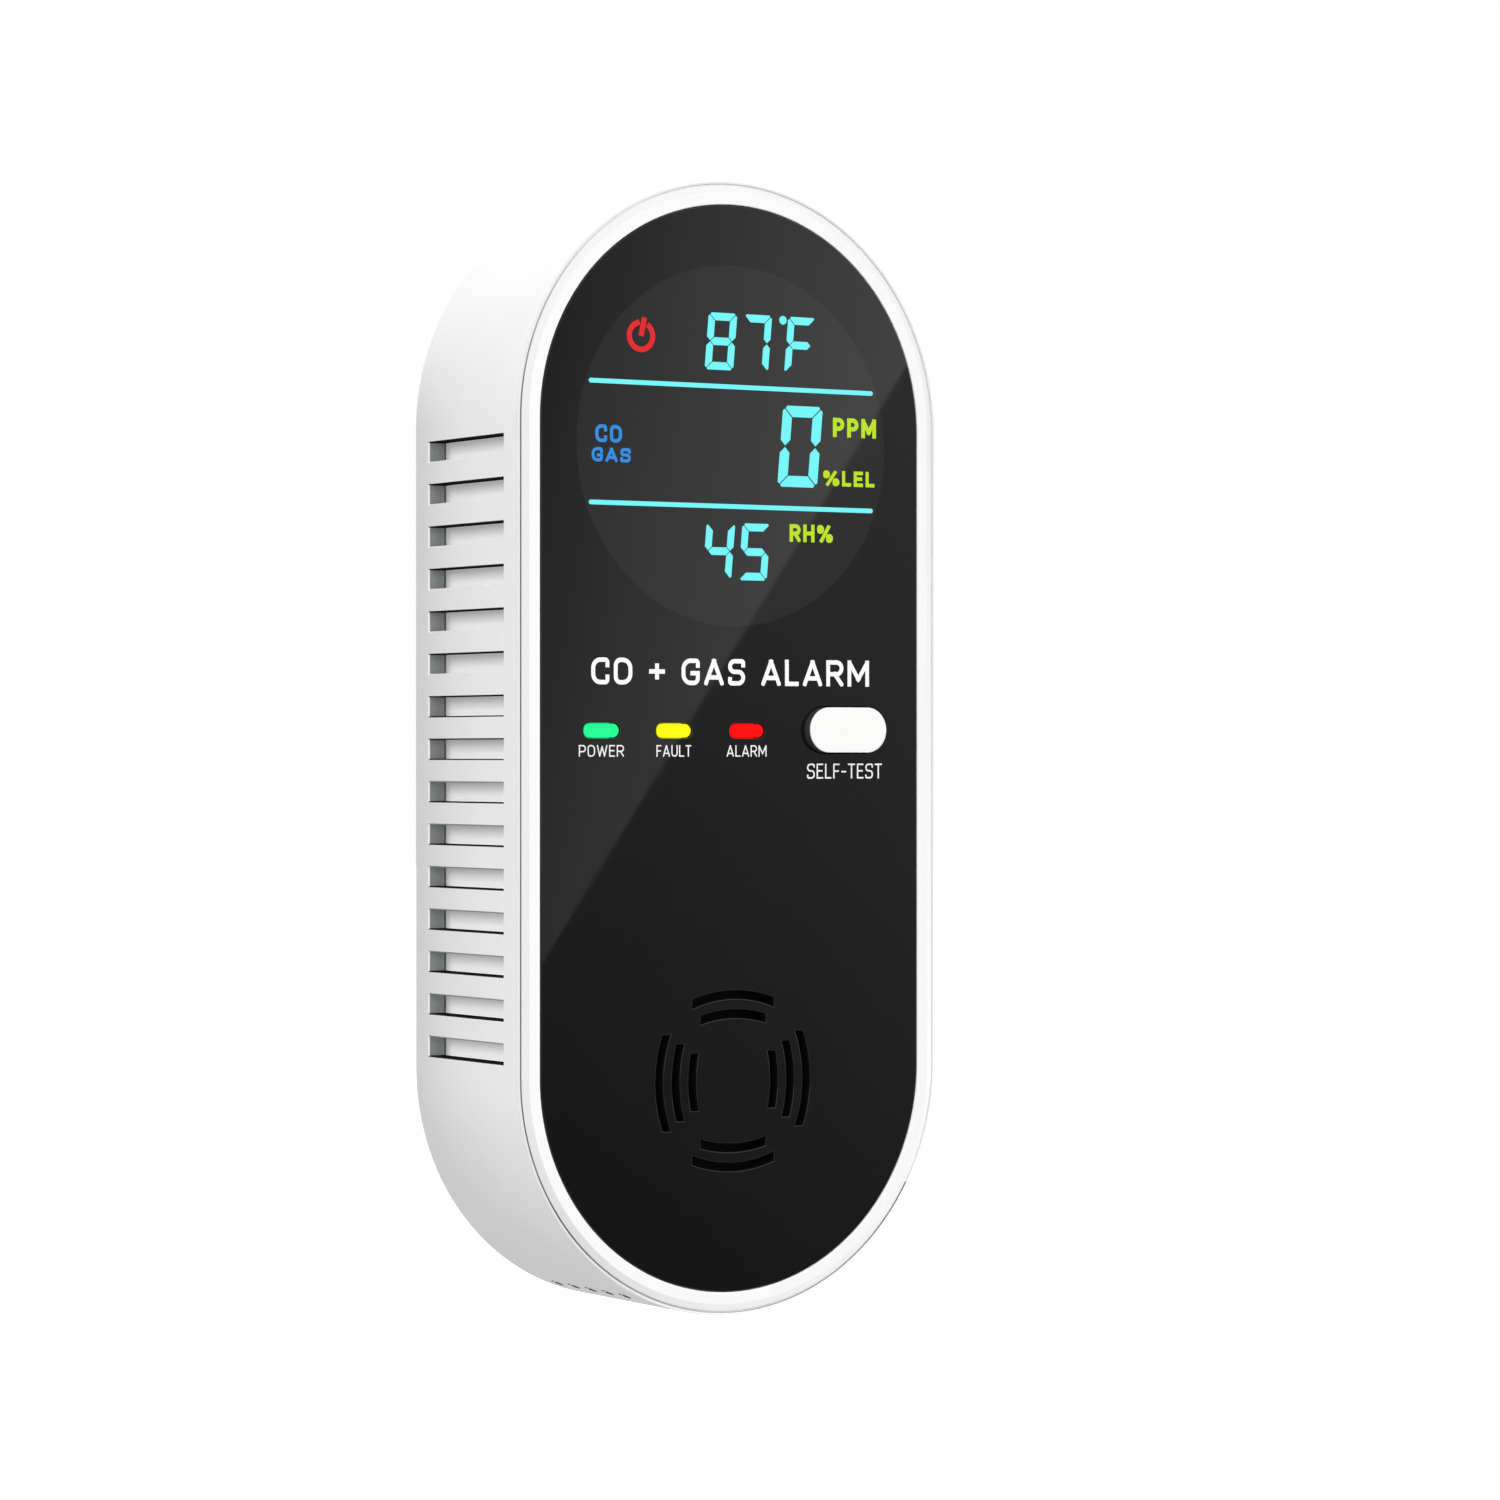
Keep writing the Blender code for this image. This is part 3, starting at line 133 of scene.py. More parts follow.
# Vents
SLOT_COUNT = 15
SLOT_PITCH = 4.59 * MM
SLOT_HEIGHT = 2.04 * MM
SLOT_DEPTHS = (3.44 * MM, 20.2 * MM)
SLOT_CHAMFER = 0.14 * MM
SLOTS_Z = MIDDLE_Z - 0.1 * MM
VENT_ROWS = 5
VENT_FIRST_DEPTH = 4.8 * MM
VENT_PITCH = 3.68 * MM
VENT_ROW_ANGLE = math.radians(12.0)
VENT_RADIUS = 0.75 * MM

# Sounder grille
GRILLE_ARMS = ((0, 3), (90, 2), (180, 3), (270, 2))
GRILLE_SLOT_WIDTH = 0.97 * MM
GRILLE_CURVE = 14.6 * MM
GRILLE_PITCH = 2.06 * MM
GRILLE_REACH = 9.27 * MM
GRILLE_HALF_LENGTH = 5.15 * MM
GRILLE_STEP = 1.03 * MM

# Bayonet
BAYONET_COUNT = 3
BAYONET_TWIST = math.radians(36)
LUG_ANGLE = math.radians(28)
NOTCH_ANGLE = math.radians(36)
HUB_RADIUS = 12.6 * MM
BORE_RADIUS = 13.0 * MM
LUG_RADIUS = 14.8 * MM
POCKET_RADIUS = 15.2 * MM
LUG_BACK = 25.9 * MM
COLLAR_LEDGE = 26.3 * MM
HEAD_FRONT = COLLAR_BACK + FINE_GAP

# Screws: the bosses they stand in, and the holes for their shanks and threads
PAD_RADIUS = 4.0 * MM
POST_RADIUS = 2.2 * MM
CASE_BOSS_RADIUS = 2.9 * MM
BOARD_BOSS_RADIUS = 2.3 * MM
BOSS_FRONT = 2.2 * MM
SHANK_HOLE = 1.6 * MM
PILOT_HOLE = 1.2 * MM
PILOT_FRONT = 10.5 * MM
SCREW_HEAD = 1.4 * MM
SCREW_SHANK = 1.25 * MM
RECESS_HALF_LENGTH = 1.35 * MM
RECESS_HALF_WIDTH = 0.25 * MM
RECESS_DEPTH = 0.75 * MM

# Plug blades, with the bevel's length and the hole's place measured from the tip
BLADES = ("line_blade", "neutral_blade")
BLADE_TIP_RADIUS = 4.6 * MM
BLADE_TIP_HALF = 0.3 * MM
BLADE_BEVEL = 1.2 * MM
BLADE_HOLE = 5.4 * MM
BLADE_HOLE_RADIUS = 1.5 * MM

# How far a joined or cutting solid runs past the surface it meets, the radius that closes an
# end, and the rounding of most edges
OVER = 1.0 * MM
POINT = 0.001 * MM
SOFT = 0.12 * MM

# Fineness of round shapes
CASE_STEPS = 72
ROUND_STEPS = 128
SMALL_STEPS = 40
EDGE_STEPS = 4


def y_at(depth):
    return FRONT_Y + depth


# ---- outlines


def arc(x, z, radius, first, sweep, steps):
    """Points along an arc, both ends included."""
    turns = [first + sweep * step / steps for step in range(steps + 1)]
    return [(x + radius * math.cos(turn), z + radius * math.sin(turn)) for turn in turns]


def circle(x, z, radius, steps=SMALL_STEPS):
    return arc(x, z, radius, 0.0, 2 * math.pi, steps)[:-1]


def stadium(radius, side_z=()):
    """The case outline at an end radius. side_z adds points at these heights on both sides."""
    right = [(radius, z) for z in sorted(side_z)]
    left = [(-radius, z) for z in sorted(side_z, reverse=True)]
    upper = arc(0.0, UPPER_Z, radius, 0.0, math.pi, CASE_STEPS)
    lower = arc(0.0, LOWER_Z, radius, math.pi, math.pi, CASE_STEPS)
    return upper + left + lower + right


def pill(x, z, width, height, steps=16):
    radius = height / 2
    reach = width / 2 - radius
    right = arc(x + reach, z, radius, -math.pi / 2, math.pi, steps)
    return right + arc(x - reach, z, radius, math.pi / 2, math.pi, steps)


def box_outline(x0, x1, z0, z1):
    return [(x0, z0), (x1, z0), (x1, z1), (x0, z1)]


def rounded(corners, steps=EDGE_STEPS, closed=True):
    """A path through (a, b, radius) corners, each rounded by its radius."""
    path = []
    count = len(corners)
    for index, (a, b, radius) in enumerate(corners):
        here = Vector((a, b))
        inner = closed or 0 < index < count - 1
        if not inner or radius <= 0:
            path.append((a, b))
            continue
        before = Vector(corners[index - 1][:2]) - here
        after = Vector(corners[(index + 1) % count][:2]) - here
        half = before.angle(after) / 2
        limit = 0.499 * min(before.length, after.length)
        reach = min(radius / math.tan(half), limit)
        start = here + before.normalized() * reach
        end = here + after.normalized() * reach
        for step in range(steps + 1):
            share = step / steps
            # A conic through both tangent points, weighted to be a circular arc
            weight = math.sin(half)
            low, mid, high = (1 - share) ** 2, 2 * share * (1 - share) * weight, share**2
            point = (start * low + here * mid + end * high) / (low + mid + high)
            path.append(tuple(point))
    return path


def soft_box(x, z, width, height, radius):
    """A rectangle about (x, z) with rounded corners."""
    outline = box_outline(x - width / 2, x + width / 2, z - height / 2, z + height / 2)
    return rounded([(px, pz, radius) for px, pz in outline], steps=8)


def sector(inner, outer, middle, width, steps=12):
    """A ring sector about the plug axis, between two radii and centred on an angle."""
    far = arc(0.0, 0.0, outer, middle - width / 2, width, steps)
    near = arc(0.0, 0.0, inner, middle + width / 2, -width, steps)
    return far + near


def grille_slot(reach, half_length, degrees, steps=20):
    """One bowed sounder slot with straight ends, on an arm from the grille's centre."""
    sides = []
    for side in (GRILLE_SLOT_WIDTH / 2, -GRILLE_SLOT_WIDTH / 2):
        radius = GRILLE_CURVE + side
        across = [half_length * (2 * step / steps - 1) for step in range(steps + 1)]
        sides.append([(reach + side - radius + math.sqrt(radius**2 - a * a), a) for a in across])
    turn = Matrix.Rotation(math.radians(degrees), 2)
    turned_points = [turn @ Vector(point) for point in sides[0] + sides[1][::-1]]
    return [(point.x, GRILLE_Z + point.y) for point in turned_points]


# ---- mesh work


def loft(rings, closed=False):
    """A solid through rings of points. A closed loft joins its last ring to its first."""
    shape = bmesh.new()
    rows = [[shape.verts.new(point) for point in ring] for ring in rings]
    pairs = list(zip(rows, rows[1:]))
    if closed:
        pairs.append((rows[-1], rows[0]))
    for first, second in pairs:
        count = len(first)
        for index in range(count):
            after = (index + 1) % count
            shape.faces.new((first[index], first[after], second[after], second[index]))
    if not closed:
        shape.faces.new(rows[0][::-1])
        shape.faces.new(rows[-1])
    bmesh.ops.recalc_face_normals(shape, faces=shape.faces)
    return shape


def case_loft(profile, closed=False, side_z=()):
    rings = [[(x, y_at(depth), z) for x, z in stadium(radius, side_z)] for radius, depth in profile]
    return loft(rings, closed)


def turned(profile, x=0.0, z=0.0, steps=SMALL_STEPS):
    """A solid of revolution about an axis along Y through (x, z)."""
    rings = [[(px, y_at(depth), pz) for px, pz in circle(x, z, radius, steps)] for radius, depth in profile]
    return loft(rings)


def encloses(outline, x, z):
    """Whether a point lies inside an outline, by counting the edges to its right."""
    inside = False
    for (ax, az), (bx, bz) in zip(outline, outline[1:] + outline[:1]):
        if (az > z) != (bz > z) and x < ax + (bx - ax) * (z - az) / (bz - az):
            inside = not inside
    return inside


def covered(boxed, x, z):
    """Whether any of the outlines, each with its own box, covers a point."""
    for low_x, high_x, low_z, high_z, outline in boxed:
        if low_x < x < high_x and low_z < z < high_z and encloses(outline, x, z):
            return True
    return False


def boxed_outlines(outlines):
    boxed = []
    for outline in outlines:
        across, upright = zip(*outline)
        boxed.append((min(across), max(across), min(upright), max(upright), outline))
    return boxed


def flat(solids, front, back, holes=(), clips=(), edge=0.0, rounds=3):
    """A flat solid between two depths: the union of solids, less holes and inside clips."""
    points, edges = [], []
    for outline in [*solids, *holes, *clips]:
        start = len(points)
        count = len(outline)
        points += [Vector(point) / MM for point in outline]
        edges += [(start + index, start + (index + 1) % count) for index in range(count)]
    found = delaunay_2d_cdt(points, edges, [], 0, 1e-5, True)
    places = [place * MM for place in found[0]]
    solid, hole, clip = (boxed_outlines(outlines) for outlines in (solids, holes, clips))
    shape = bmesh.new()
    verts = [shape.verts.new((place.x, y_at(front), place.y)) for place in places]
    for triangle in found[2]:
        middle = sum((places[index] for index in triangle), Vector((0.0, 0.0))) / len(triangle)
        kept = covered(solid, *middle) and not covered(hole, *middle)
        if kept and (not clips or covered(clip, *middle)):
            shape.faces.new([verts[index] for index in triangle])
    loose = [vert for vert in shape.verts if not vert.link_faces]
    bmesh.ops.delete(shape, geom=loose, context="VERTS")
    rim = [item for item in shape.edges if item.is_boundary]
    made = bmesh.ops.extrude_face_region(shape, geom=shape.faces[:], use_keep_orig=True)["geom"]
    moved = [item for item in made if isinstance(item, bmesh.types.BMVert)]
    bmesh.ops.translate(shape, vec=(0.0, back - front, 0.0), verts=moved)
    bmesh.ops.recalc_face_normals(shape, faces=shape.faces)
    if edge:
        bmesh.ops.bevel(shape, geom=rim, offset=edge, segments=rounds, profile=0.5, affect="EDGES")
    return shape


def add_rod(shape, radius, length, place, steps):
    """Adds a round bar along a place's Z."""
    bmesh.ops.create_cone(
        shape, cap_ends=True, segments=steps, radius1=radius, radius2=radius, depth=length, matrix=place
    )


def mesh_of(name, shape):
    mesh = bpy.data.meshes.new(name)
    shape.to_mesh(mesh)
    shape.free()
    return mesh


def placed(name, data):
    item = bpy.data.objects.new(name, data)
    bpy.context.scene.collection.objects.link(item)
    return item


def combine(item, shapes, operation):
    """Joins or cuts an object's mesh with solids, one Boolean each."""
    for shape in shapes:
        tool = placed("tool", mesh_of("tool", shape))
        change = item.modifiers.new("change", "BOOLEAN")
        change.operation = operation
        change.solver = "EXACT"
        change.object = tool
        graph = bpy.context.evaluated_depsgraph_get()
        made = bpy.data.meshes.new_from_object(item.evaluated_get(graph), depsgraph=graph)
        item.modifiers.remove(change)
        bpy.data.objects.remove(tool)
        item.data = made


def carve(shape, materials, joined=(), cut=()):
    """The mesh of one solid after its unions and cuts. New faces take the first material."""
    item = placed("blank", mesh_of("blank", shape))
    for material in materials:
        item.data.materials.append(material)
    combine(item, joined, "UNION")
    combine(item, cut, "DIFFERENCE")
    mesh = item.data
    bpy.data.objects.remove(item)
    return mesh


def piece(name, shape, body, material, nodes=(), smooth=30.0, weighted=True):
    """A finished piece that rides on a body and stands for the nodes given."""
    mesh = mesh_of(name, shape) if isinstance(shape, bmesh.types.BMesh) else shape
    mesh.name = name
    item = placed(name, mesh)
    if not mesh.materials:
        mesh.materials.append(material)
    mesh.shade_smooth()
    mesh.set_sharp_from_angle(angle=math.radians(smooth))
    if weighted:
        item.modifiers.new("Weighted Normal", "WEIGHTED_NORMAL").keep_sharp = True
    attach(item, body)
    if nodes:
        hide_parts(*nodes)
    return item


def paint(mesh, material, test):
    """Gives the faces whose centre and normal pass a test another of the mesh's materials."""
    index = mesh.materials.find(material.name)
    for polygon in mesh.polygons:
        if test(polygon.center, polygon.normal):
            polygon.material_index = index


def within_stadium(place, radius):
    """Whether a point lies within the case outline at an end radius."""
    nearest = min(max(place.z, LOWER_Z), UPPER_Z)
    return math.hypot(place.x, place.z - nearest) < radius


def front_edge(depth, radius):
    """A test for faces nearer the front than a depth and outside the case outline at a radius."""
    return lambda centre, normal: centre.y < y_at(depth) and not within_stadium(centre, radius)


# ---- materials


def srgb(red, green, blue):
    """Linear colour from 0 to 255 display values."""
    shares = [value / 255 for value in (red, green, blue)]
    return tuple(s / 12.92 if s <= 0.04045 else ((s + 0.055) / 1.055) ** 2.4 for s in shares)


class Nodes:
    """The node tree of a material or the world, with short calls to add and link its nodes."""

    def __init__(self, owner, shader="Principled BSDF"):
        owner.use_nodes = True
        self.material = owner
        self.tree = owner.node_tree
        self.shader = self.tree.nodes[shader]
        self.places = self.add("ShaderNodeTexCoord").outputs
        self.place = self.places["Object"]

    def add(self, kind, **values):
        node = self.tree.nodes.new(kind)
        for key, value in values.items():
            setattr(node, key, value)
        return node

    def link(self, source, target):
        self.tree.links.new(source, target)

    def set(self, **values):
        """Sets the shader's inputs, with underscores for the spaces in their names."""
        for key, value in values.items():
            self.shader.inputs[key.replace("_", " ")].default_value = value

    def feed(self, name, source):
        """Drives one of the shader's inputs."""
        self.link(source, self.shader.inputs[name])

    def part(self, source, name):
        """The X, Y or Z of a vector."""
        node = self.add("ShaderNodeSeparateXYZ")
        self.link(source, node.inputs[0])
        return node.outputs[name]

    def product(self, first, second):
        node = self.add("ShaderNodeMath", operation="MULTIPLY")
        self.link(first, node.inputs[0])
        self.link(second, node.inputs[1])
        return node.outputs[0]

    def noise(self, scale, detail=3.0):
        node = self.add("ShaderNodeTexNoise")
        node.inputs["Scale"].default_value = scale
        node.inputs["Detail"].default_value = detail
        self.link(self.place, node.inputs["Vector"])
        return node.outputs["Fac"]

    def span(self, source, low, high, start=0.3, end=0.7, clamp=True):
        """The source's values from start to end, mapped to low to high."""
        node = self.add("ShaderNodeMapRange", clamp=clamp)
        node.inputs["From Min"].default_value = start
        node.inputs["From Max"].default_value = end
        node.inputs["To Min"].default_value = low
        node.inputs["To Max"].default_value = high
        self.link(source, node.inputs["Value"])
        return node.outputs["Result"]

    def blend(self, source, first, second):
        """One colour to another by a value from 0 to 1."""
        node = self.add("ShaderNodeMix", data_type="RGBA")
        sockets = [s for s in node.inputs if s.type == "RGBA"]
        for socket, colour in zip(sockets, (first, second)):
            if isinstance(colour, tuple):
                socket.default_value = (*colour, 1.0)
            else:
                self.link(colour, socket)
        self.link(source, node.inputs["Factor"])
        return [s for s in node.outputs if s.type == "RGBA"][0]

    def tone(self):
        """What the base colour comes from."""
        return self.shader.inputs["Base Color"].links[0].from_socket

    def tint(self, source, first, second):
        """Blends the base colour from one tone to another by a value from 0 to 1."""
        self.feed("Base Color", self.blend(source, first, second))

    def bump(self, source, depth, strength=1.0):
        node = self.add("ShaderNodeBump")
        node.inputs["Strength"].default_value = strength
        node.inputs["Distance"].default_value = depth
        self.link(source, node.inputs["Height"])
        previous = self.shader.inputs["Normal"]
        if previous.is_linked:
            self.link(previous.links[0].from_socket, node.inputs["Normal"])
        self.link(node.outputs["Normal"], previous)


def scaled(colour, factor):
    return tuple(min(1.0, channel * factor) for channel in colour)


# Grains: the noise's scale and how deep it is
MOULD_GRAIN = (5200.0, 0.000006)
BUTTON_GRAIN = (4200.0, 0.000004)


def finish(name, colour, roughness, metallic=0.0, mottle=0.012, spread=0.06, grain=MOULD_GRAIN, patch=90.0):
    """A surface whose tone and gloss vary slightly, over a fine moulded or cast grain."""
    nodes = Nodes(bpy.data.materials.new(name))
    patches = nodes.span(nodes.noise(patch), 0.0, 1.0)
    nodes.tint(patches, scaled(colour, 1 - mottle), scaled(colour, 1 + mottle))
    gloss = nodes.span(nodes.noise(patch * 4), roughness - spread, roughness + spread)
    nodes.feed("Roughness", gloss)
    nodes.set(Metallic=metallic)
    if grain:
        scale, depth = grain
        nodes.bump(nodes.noise(scale, 2.0), depth)
    return nodes


def dull(name, tone, roughness, specular, mottle):
    """A dark surface with little or no shine, for places in shadow."""
    nodes = finish(name, tone, roughness, mottle=mottle)
    nodes.set(Specular_IOR_Level=specular)
    return nodes.material


def glow(name, colour):
    """A lit face, slightly dimmer where it is seen at a slant."""
    nodes = Nodes(bpy.data.materials.new(name))
    nodes.set(Base_Color=(*scaled(colour, 0.02), 1.0), Roughness=0.4, Specular_IOR_Level=0.12)
    facing = nodes.add("ShaderNodeLayerWeight")
    facing.inputs["Blend"].default_value = 0.25
    even = nodes.span(nodes.noise(600.0), 0.97, 1.0)
    slant = nodes.span(facing.outputs["Facing"], 1.0, 0.55, 0.3, 1.0)
    nodes.set(Emission_Color=(*colour, 1.0))
    nodes.feed("Emission Strength", nodes.product(even, slant))
    return nodes.material


def window_material():
    """Smoked glossy panel, a shade lighter over the round display behind it."""
    nodes = Nodes(bpy.data.materials.new("smoked_window"))
    flat_place = nodes.add("ShaderNodeCombineXYZ")
    for name in ("X", "Z"):
        nodes.link(nodes.part(nodes.place, name), flat_place.inputs[name])
    away = nodes.add("ShaderNodeVectorMath", operation="DISTANCE")
    nodes.link(flat_place.outputs[0], away.inputs[0])
    away.inputs[1].default_value = (0.0, 0.0, DISPLAY_Z)
    edge = 0.05 * MM
    disc = nodes.span(away.outputs["Value"], 1.0, 0.0, FILM_HIGH.x - edge, FILM_HIGH.x + edge)
    cloud = nodes.span(nodes.noise(60.0), 0.0, 1.0)
    panel = nodes.blend(cloud, WINDOW_DARK, scaled(WINDOW_DARK, 1.15))
    display = nodes.blend(cloud, WINDOW_DISPLAY, scaled(WINDOW_DISPLAY, 1.1))
    nodes.tint(disc, panel, display)
    nodes.feed("Roughness", nodes.span(nodes.noise(220.0, 5.0), 0.012, 0.03))
    nodes.bump(nodes.noise(30.0, 1.0), 0.000002, 0.3)
    return nodes.material


def baffle_material():
    """The white wall behind the slots, with painted light and shade: it glows, and is painted darker under
    each slot's top edge and at its rear end.
    """
    nodes = finish("inner_wall_painted_light_and_shade", (0.9, 0.9, 0.9), 0.5)
    # Painted light: the wall glows white.
    nodes.set(Emission_Color=(1.0, 1.0, 1.0, 1.0))
    # Painted shade under each slot's top edge and at its rear end, where the painted glow is also weaker.
    top = SLOTS_Z + SLOT_HEIGHT / 2
    turns = nodes.span(nodes.part(nodes.place, "Z"), 0.0, -1.0, top, top + SLOT_PITCH, False)
    below = nodes.add("ShaderNodeMath", operation="FRACT")
    nodes.link(turns, below.inputs[0])
    share = SLOT_HEIGHT / SLOT_PITCH
    under_edge = nodes.span(below.outputs[0], 0.0, 1.0, 0.0, 0.75 * share)
    rear = y_at(SLOT_DEPTHS[1])
    from_rear = nodes.span(nodes.part(nodes.place, "Y"), 1.0, 0.0, rear - 1.6 * MM, rear)
    lit = nodes.product(under_edge, from_rear)
    nodes.tint(lit, (0.52, 0.53, 0.53), nodes.tone())
    nodes.feed("Emission Strength", nodes.span(lit, 0.12, 0.34, 0.0, 1.0))
    return nodes.material


def slot_side_material():
    """The floors and ceilings of the slots, with painted shade: grey, and painted near black where they are
    seen at a grazing angle.
    """
    nodes = finish("slot_side_painted_shade", (0.34, 0.345, 0.345), 0.7, mottle=0.05)
    weight = nodes.add("ShaderNodeLayerWeight")
    weight.inputs["Blend"].default_value = 0.5
    grazing = nodes.span(weight.outputs["Facing"], 0.0, 1.0, 0.74, 0.9)
    # Painted shade: near black at a grazing angle.
    nodes.tint(grazing, nodes.tone(), (0.012, 0.012, 0.0125))
    nodes.set(Specular_IOR_Level=0.0)
    return nodes.material


def left_shaded(name, low_tone, high_tone, left_tone):
    """A moulded surface with painted light and shade: one tone at its lower end, another at its upper end,
    and a third painted over its left side and lower left.
    """
    nodes = finish(name, low_tone, 0.45)
    across = nodes.part(nodes.place, "X")
    height = nodes.part(nodes.place, "Z")
    raised = nodes.span(height, 0.0, 1.0, LOWER_Z - 20 * MM, UPPER_Z + 20 * MM)
    base = nodes.blend(raised, nodes.tone(), high_tone)
    beside = nodes.span(across, 1.0, 0.0, -20 * MM, -2 * MM)
    below_top = nodes.span(height, 1.0, 0.0, UPPER_Z + 2 * MM, UPPER_Z + 22 * MM)
    nodes.tint(nodes.product(beside, below_top), base, left_tone)
    return nodes.material


def blade_material():
    """Nickel plate, drawn along the blade's length and darker towards the plug head."""
    nodes = finish("nickel_plate", (0.78, 0.77, 0.75), 0.2, 1.0, 0.03, 0.05, None, 200.0)
    outward = nodes.span(nodes.part(nodes.place, "Y"), 0.0, 1.0, 0.0, 12 * MM)
    nodes.tint(outward, (0.42, 0.415, 0.41), nodes.tone())
    stretch = nodes.add("ShaderNodeMapping")
    stretch.inputs["Scale"].default_value = (9000.0, 120.0, 9000.0)
    nodes.link(nodes.place, stretch.inputs["Vector"])
    lines = nodes.add("ShaderNodeTexNoise")
    lines.inputs["Scale"].default_value = 1.0
    nodes.link(stretch.outputs[0], lines.inputs["Vector"])
    nodes.bump(lines.outputs["Fac"], 0.000004, 0.4)
    return nodes.material


WINDOW_DARK = (0.0040, 0.0040, 0.0040)
WINDOW_DISPLAY = (0.0112, 0.0115, 0.0113)
WHITE = (0.86, 0.86, 0.862)
BRIGHT_WHITE = (0.95, 0.95, 0.95)

SHELL = finish("satin_white_shell", WHITE, 0.36).material
PAINTED_LIGHT_BAFFLE = baffle_material()
SHADE = finish("slot_wall_shade", srgb(150, 153, 153), 0.6, mottle=0.06).material
# Painted light and shade on the groove round the ring: brighter at the lower end, darker on the left side
# and lower left.
GROOVE = left_shaded("groove_wall_painted_light_and_shade", BRIGHT_WHITE, WHITE, srgb(128, 130, 130))
# Painted light and shade on the case's rim and the ring's bevel: brighter at the lower end, darker at the
# upper end and on the left side and lower left.
FRONT_EDGE_PAINTED_LIGHT_AND_SHADE = left_shaded("front_edge", BRIGHT_WHITE, (0.70, 0.70, 0.701), (0.72, 0.72, 0.721))
SLOT_SIDE_PAINTED_SHADE = slot_side_material()
DEEP = dull("slot_ceiling_shade", (0.016, 0.016, 0.0165), 0.85, 0.0, 0.06)
GRILLE_WALL = dull("grille_wall", (0.004, 0.004, 0.004), 0.8, 0.1, 0.1)
BUTTON = finish("button_white", (0.88, 0.878, 0.87), 0.32, grain=BUTTON_GRAIN).material
# Painted shade: the stem is near black to stand for the shadow round the button's cap.
BUTTON_STEM_PAINTED_SHADE = finish("button_stem", (0.045, 0.045, 0.046), 0.4, mottle=0.08, grain=BUTTON_GRAIN).material
PLUG = finish("plug_white", (0.84, 0.84, 0.842), 0.38).material
LATCH = finish("latch_grey", (0.70, 0.70, 0.71), 0.42, mottle=0.02).material
WINDOW = window_material()
BLADE = blade_material()
SPRING = finish("spring_wire", (0.60, 0.60, 0.60), 0.25, 1.0, 0.05, 0.06, (3600.0, 0.000002), 500.0).material
SCREW = finish("zinc_plate", (0.62, 0.62, 0.63), 0.28, 1.0, 0.04, 0.08, (2600.0, 0.000003), 400.0).material
CYAN = glow("display_cyan", srgb(118, 246, 250))
BLUE = glow("display_blue", srgb(52, 140, 222))
LIME = glow("display_lime", srgb(188, 226, 38))
RED = glow("display_red", srgb(226, 40, 44))
GREEN_LIGHT = glow("light_green", srgb(35, 255, 150))
YELLOW_LIGHT = glow("light_yellow", srgb(255, 252, 0))
RED_LIGHT = glow("light_red", srgb(255, 0, 0))
TITLE = finish("title_ink", (0.92, 0.92, 0.92), 0.5, mottle=0.02, grain=None).material
LABEL = finish("label_ink", (0.9, 0.9, 0.9), 0.5, mottle=0.03, grain=None).material
HOUSING_FINISHES = [SHELL, SHADE, DEEP, SLOT_SIDE_PAINTED_SHADE, FRONT_EDGE_PAINTED_LIGHT_AND_SHADE]


# ---- rear housing


def bayonet_angles(twist=0.0):
    return [math.pi / 2 + twist + 2 * math.pi * index / BAYONET_COUNT for index in range(BAYONET_COUNT)]


def slot_edges():
    """The bottom and top of each side slot, lowest first."""
    edges = []
    for index in range(SLOT_COUNT):
        z = SLOTS_Z + (index - (SLOT_COUNT - 1) / 2) * SLOT_PITCH
        edges.append((z - SLOT_HEIGHT / 2, z + SLOT_HEIGHT / 2))
    return edges


def slotted_shell():
    """The case wall with its rounded edges, and slots through both sides."""
    inner = END_RADIUS - WALL
    rim = RIM_INNER
    nest = RING_NEST_DEPTH + GAP
    front, back = SLOT_DEPTHS
    inside = [(inner, BACK_INSIDE), (inner, back), (inner, front), (inner, nest), (rim, nest)]
    outside = rounded(
        [
            (rim, RIM_FRONT, 0.0),
            (END_RADIUS, RIM_FRONT, RIM_ROUND),
            (END_RADIUS, BODY_DEPTH, EDGE_ROUND),
            (END_RADIUS - 2 * EDGE_ROUND, BODY_DEPTH, 0.0),
        ],
        closed=False,
    )
    split = EDGE_STEPS + 2
    wall = [(END_RADIUS, front), (END_RADIUS, back)]
    profile = inside + outside[:split] + wall + outside[split:]
    levels = [z for edges in slot_edges() for z in edges]
    shape = case_loft(profile, side_z=levels)
    cut_slots(shape, front, back, inner)
    return shape


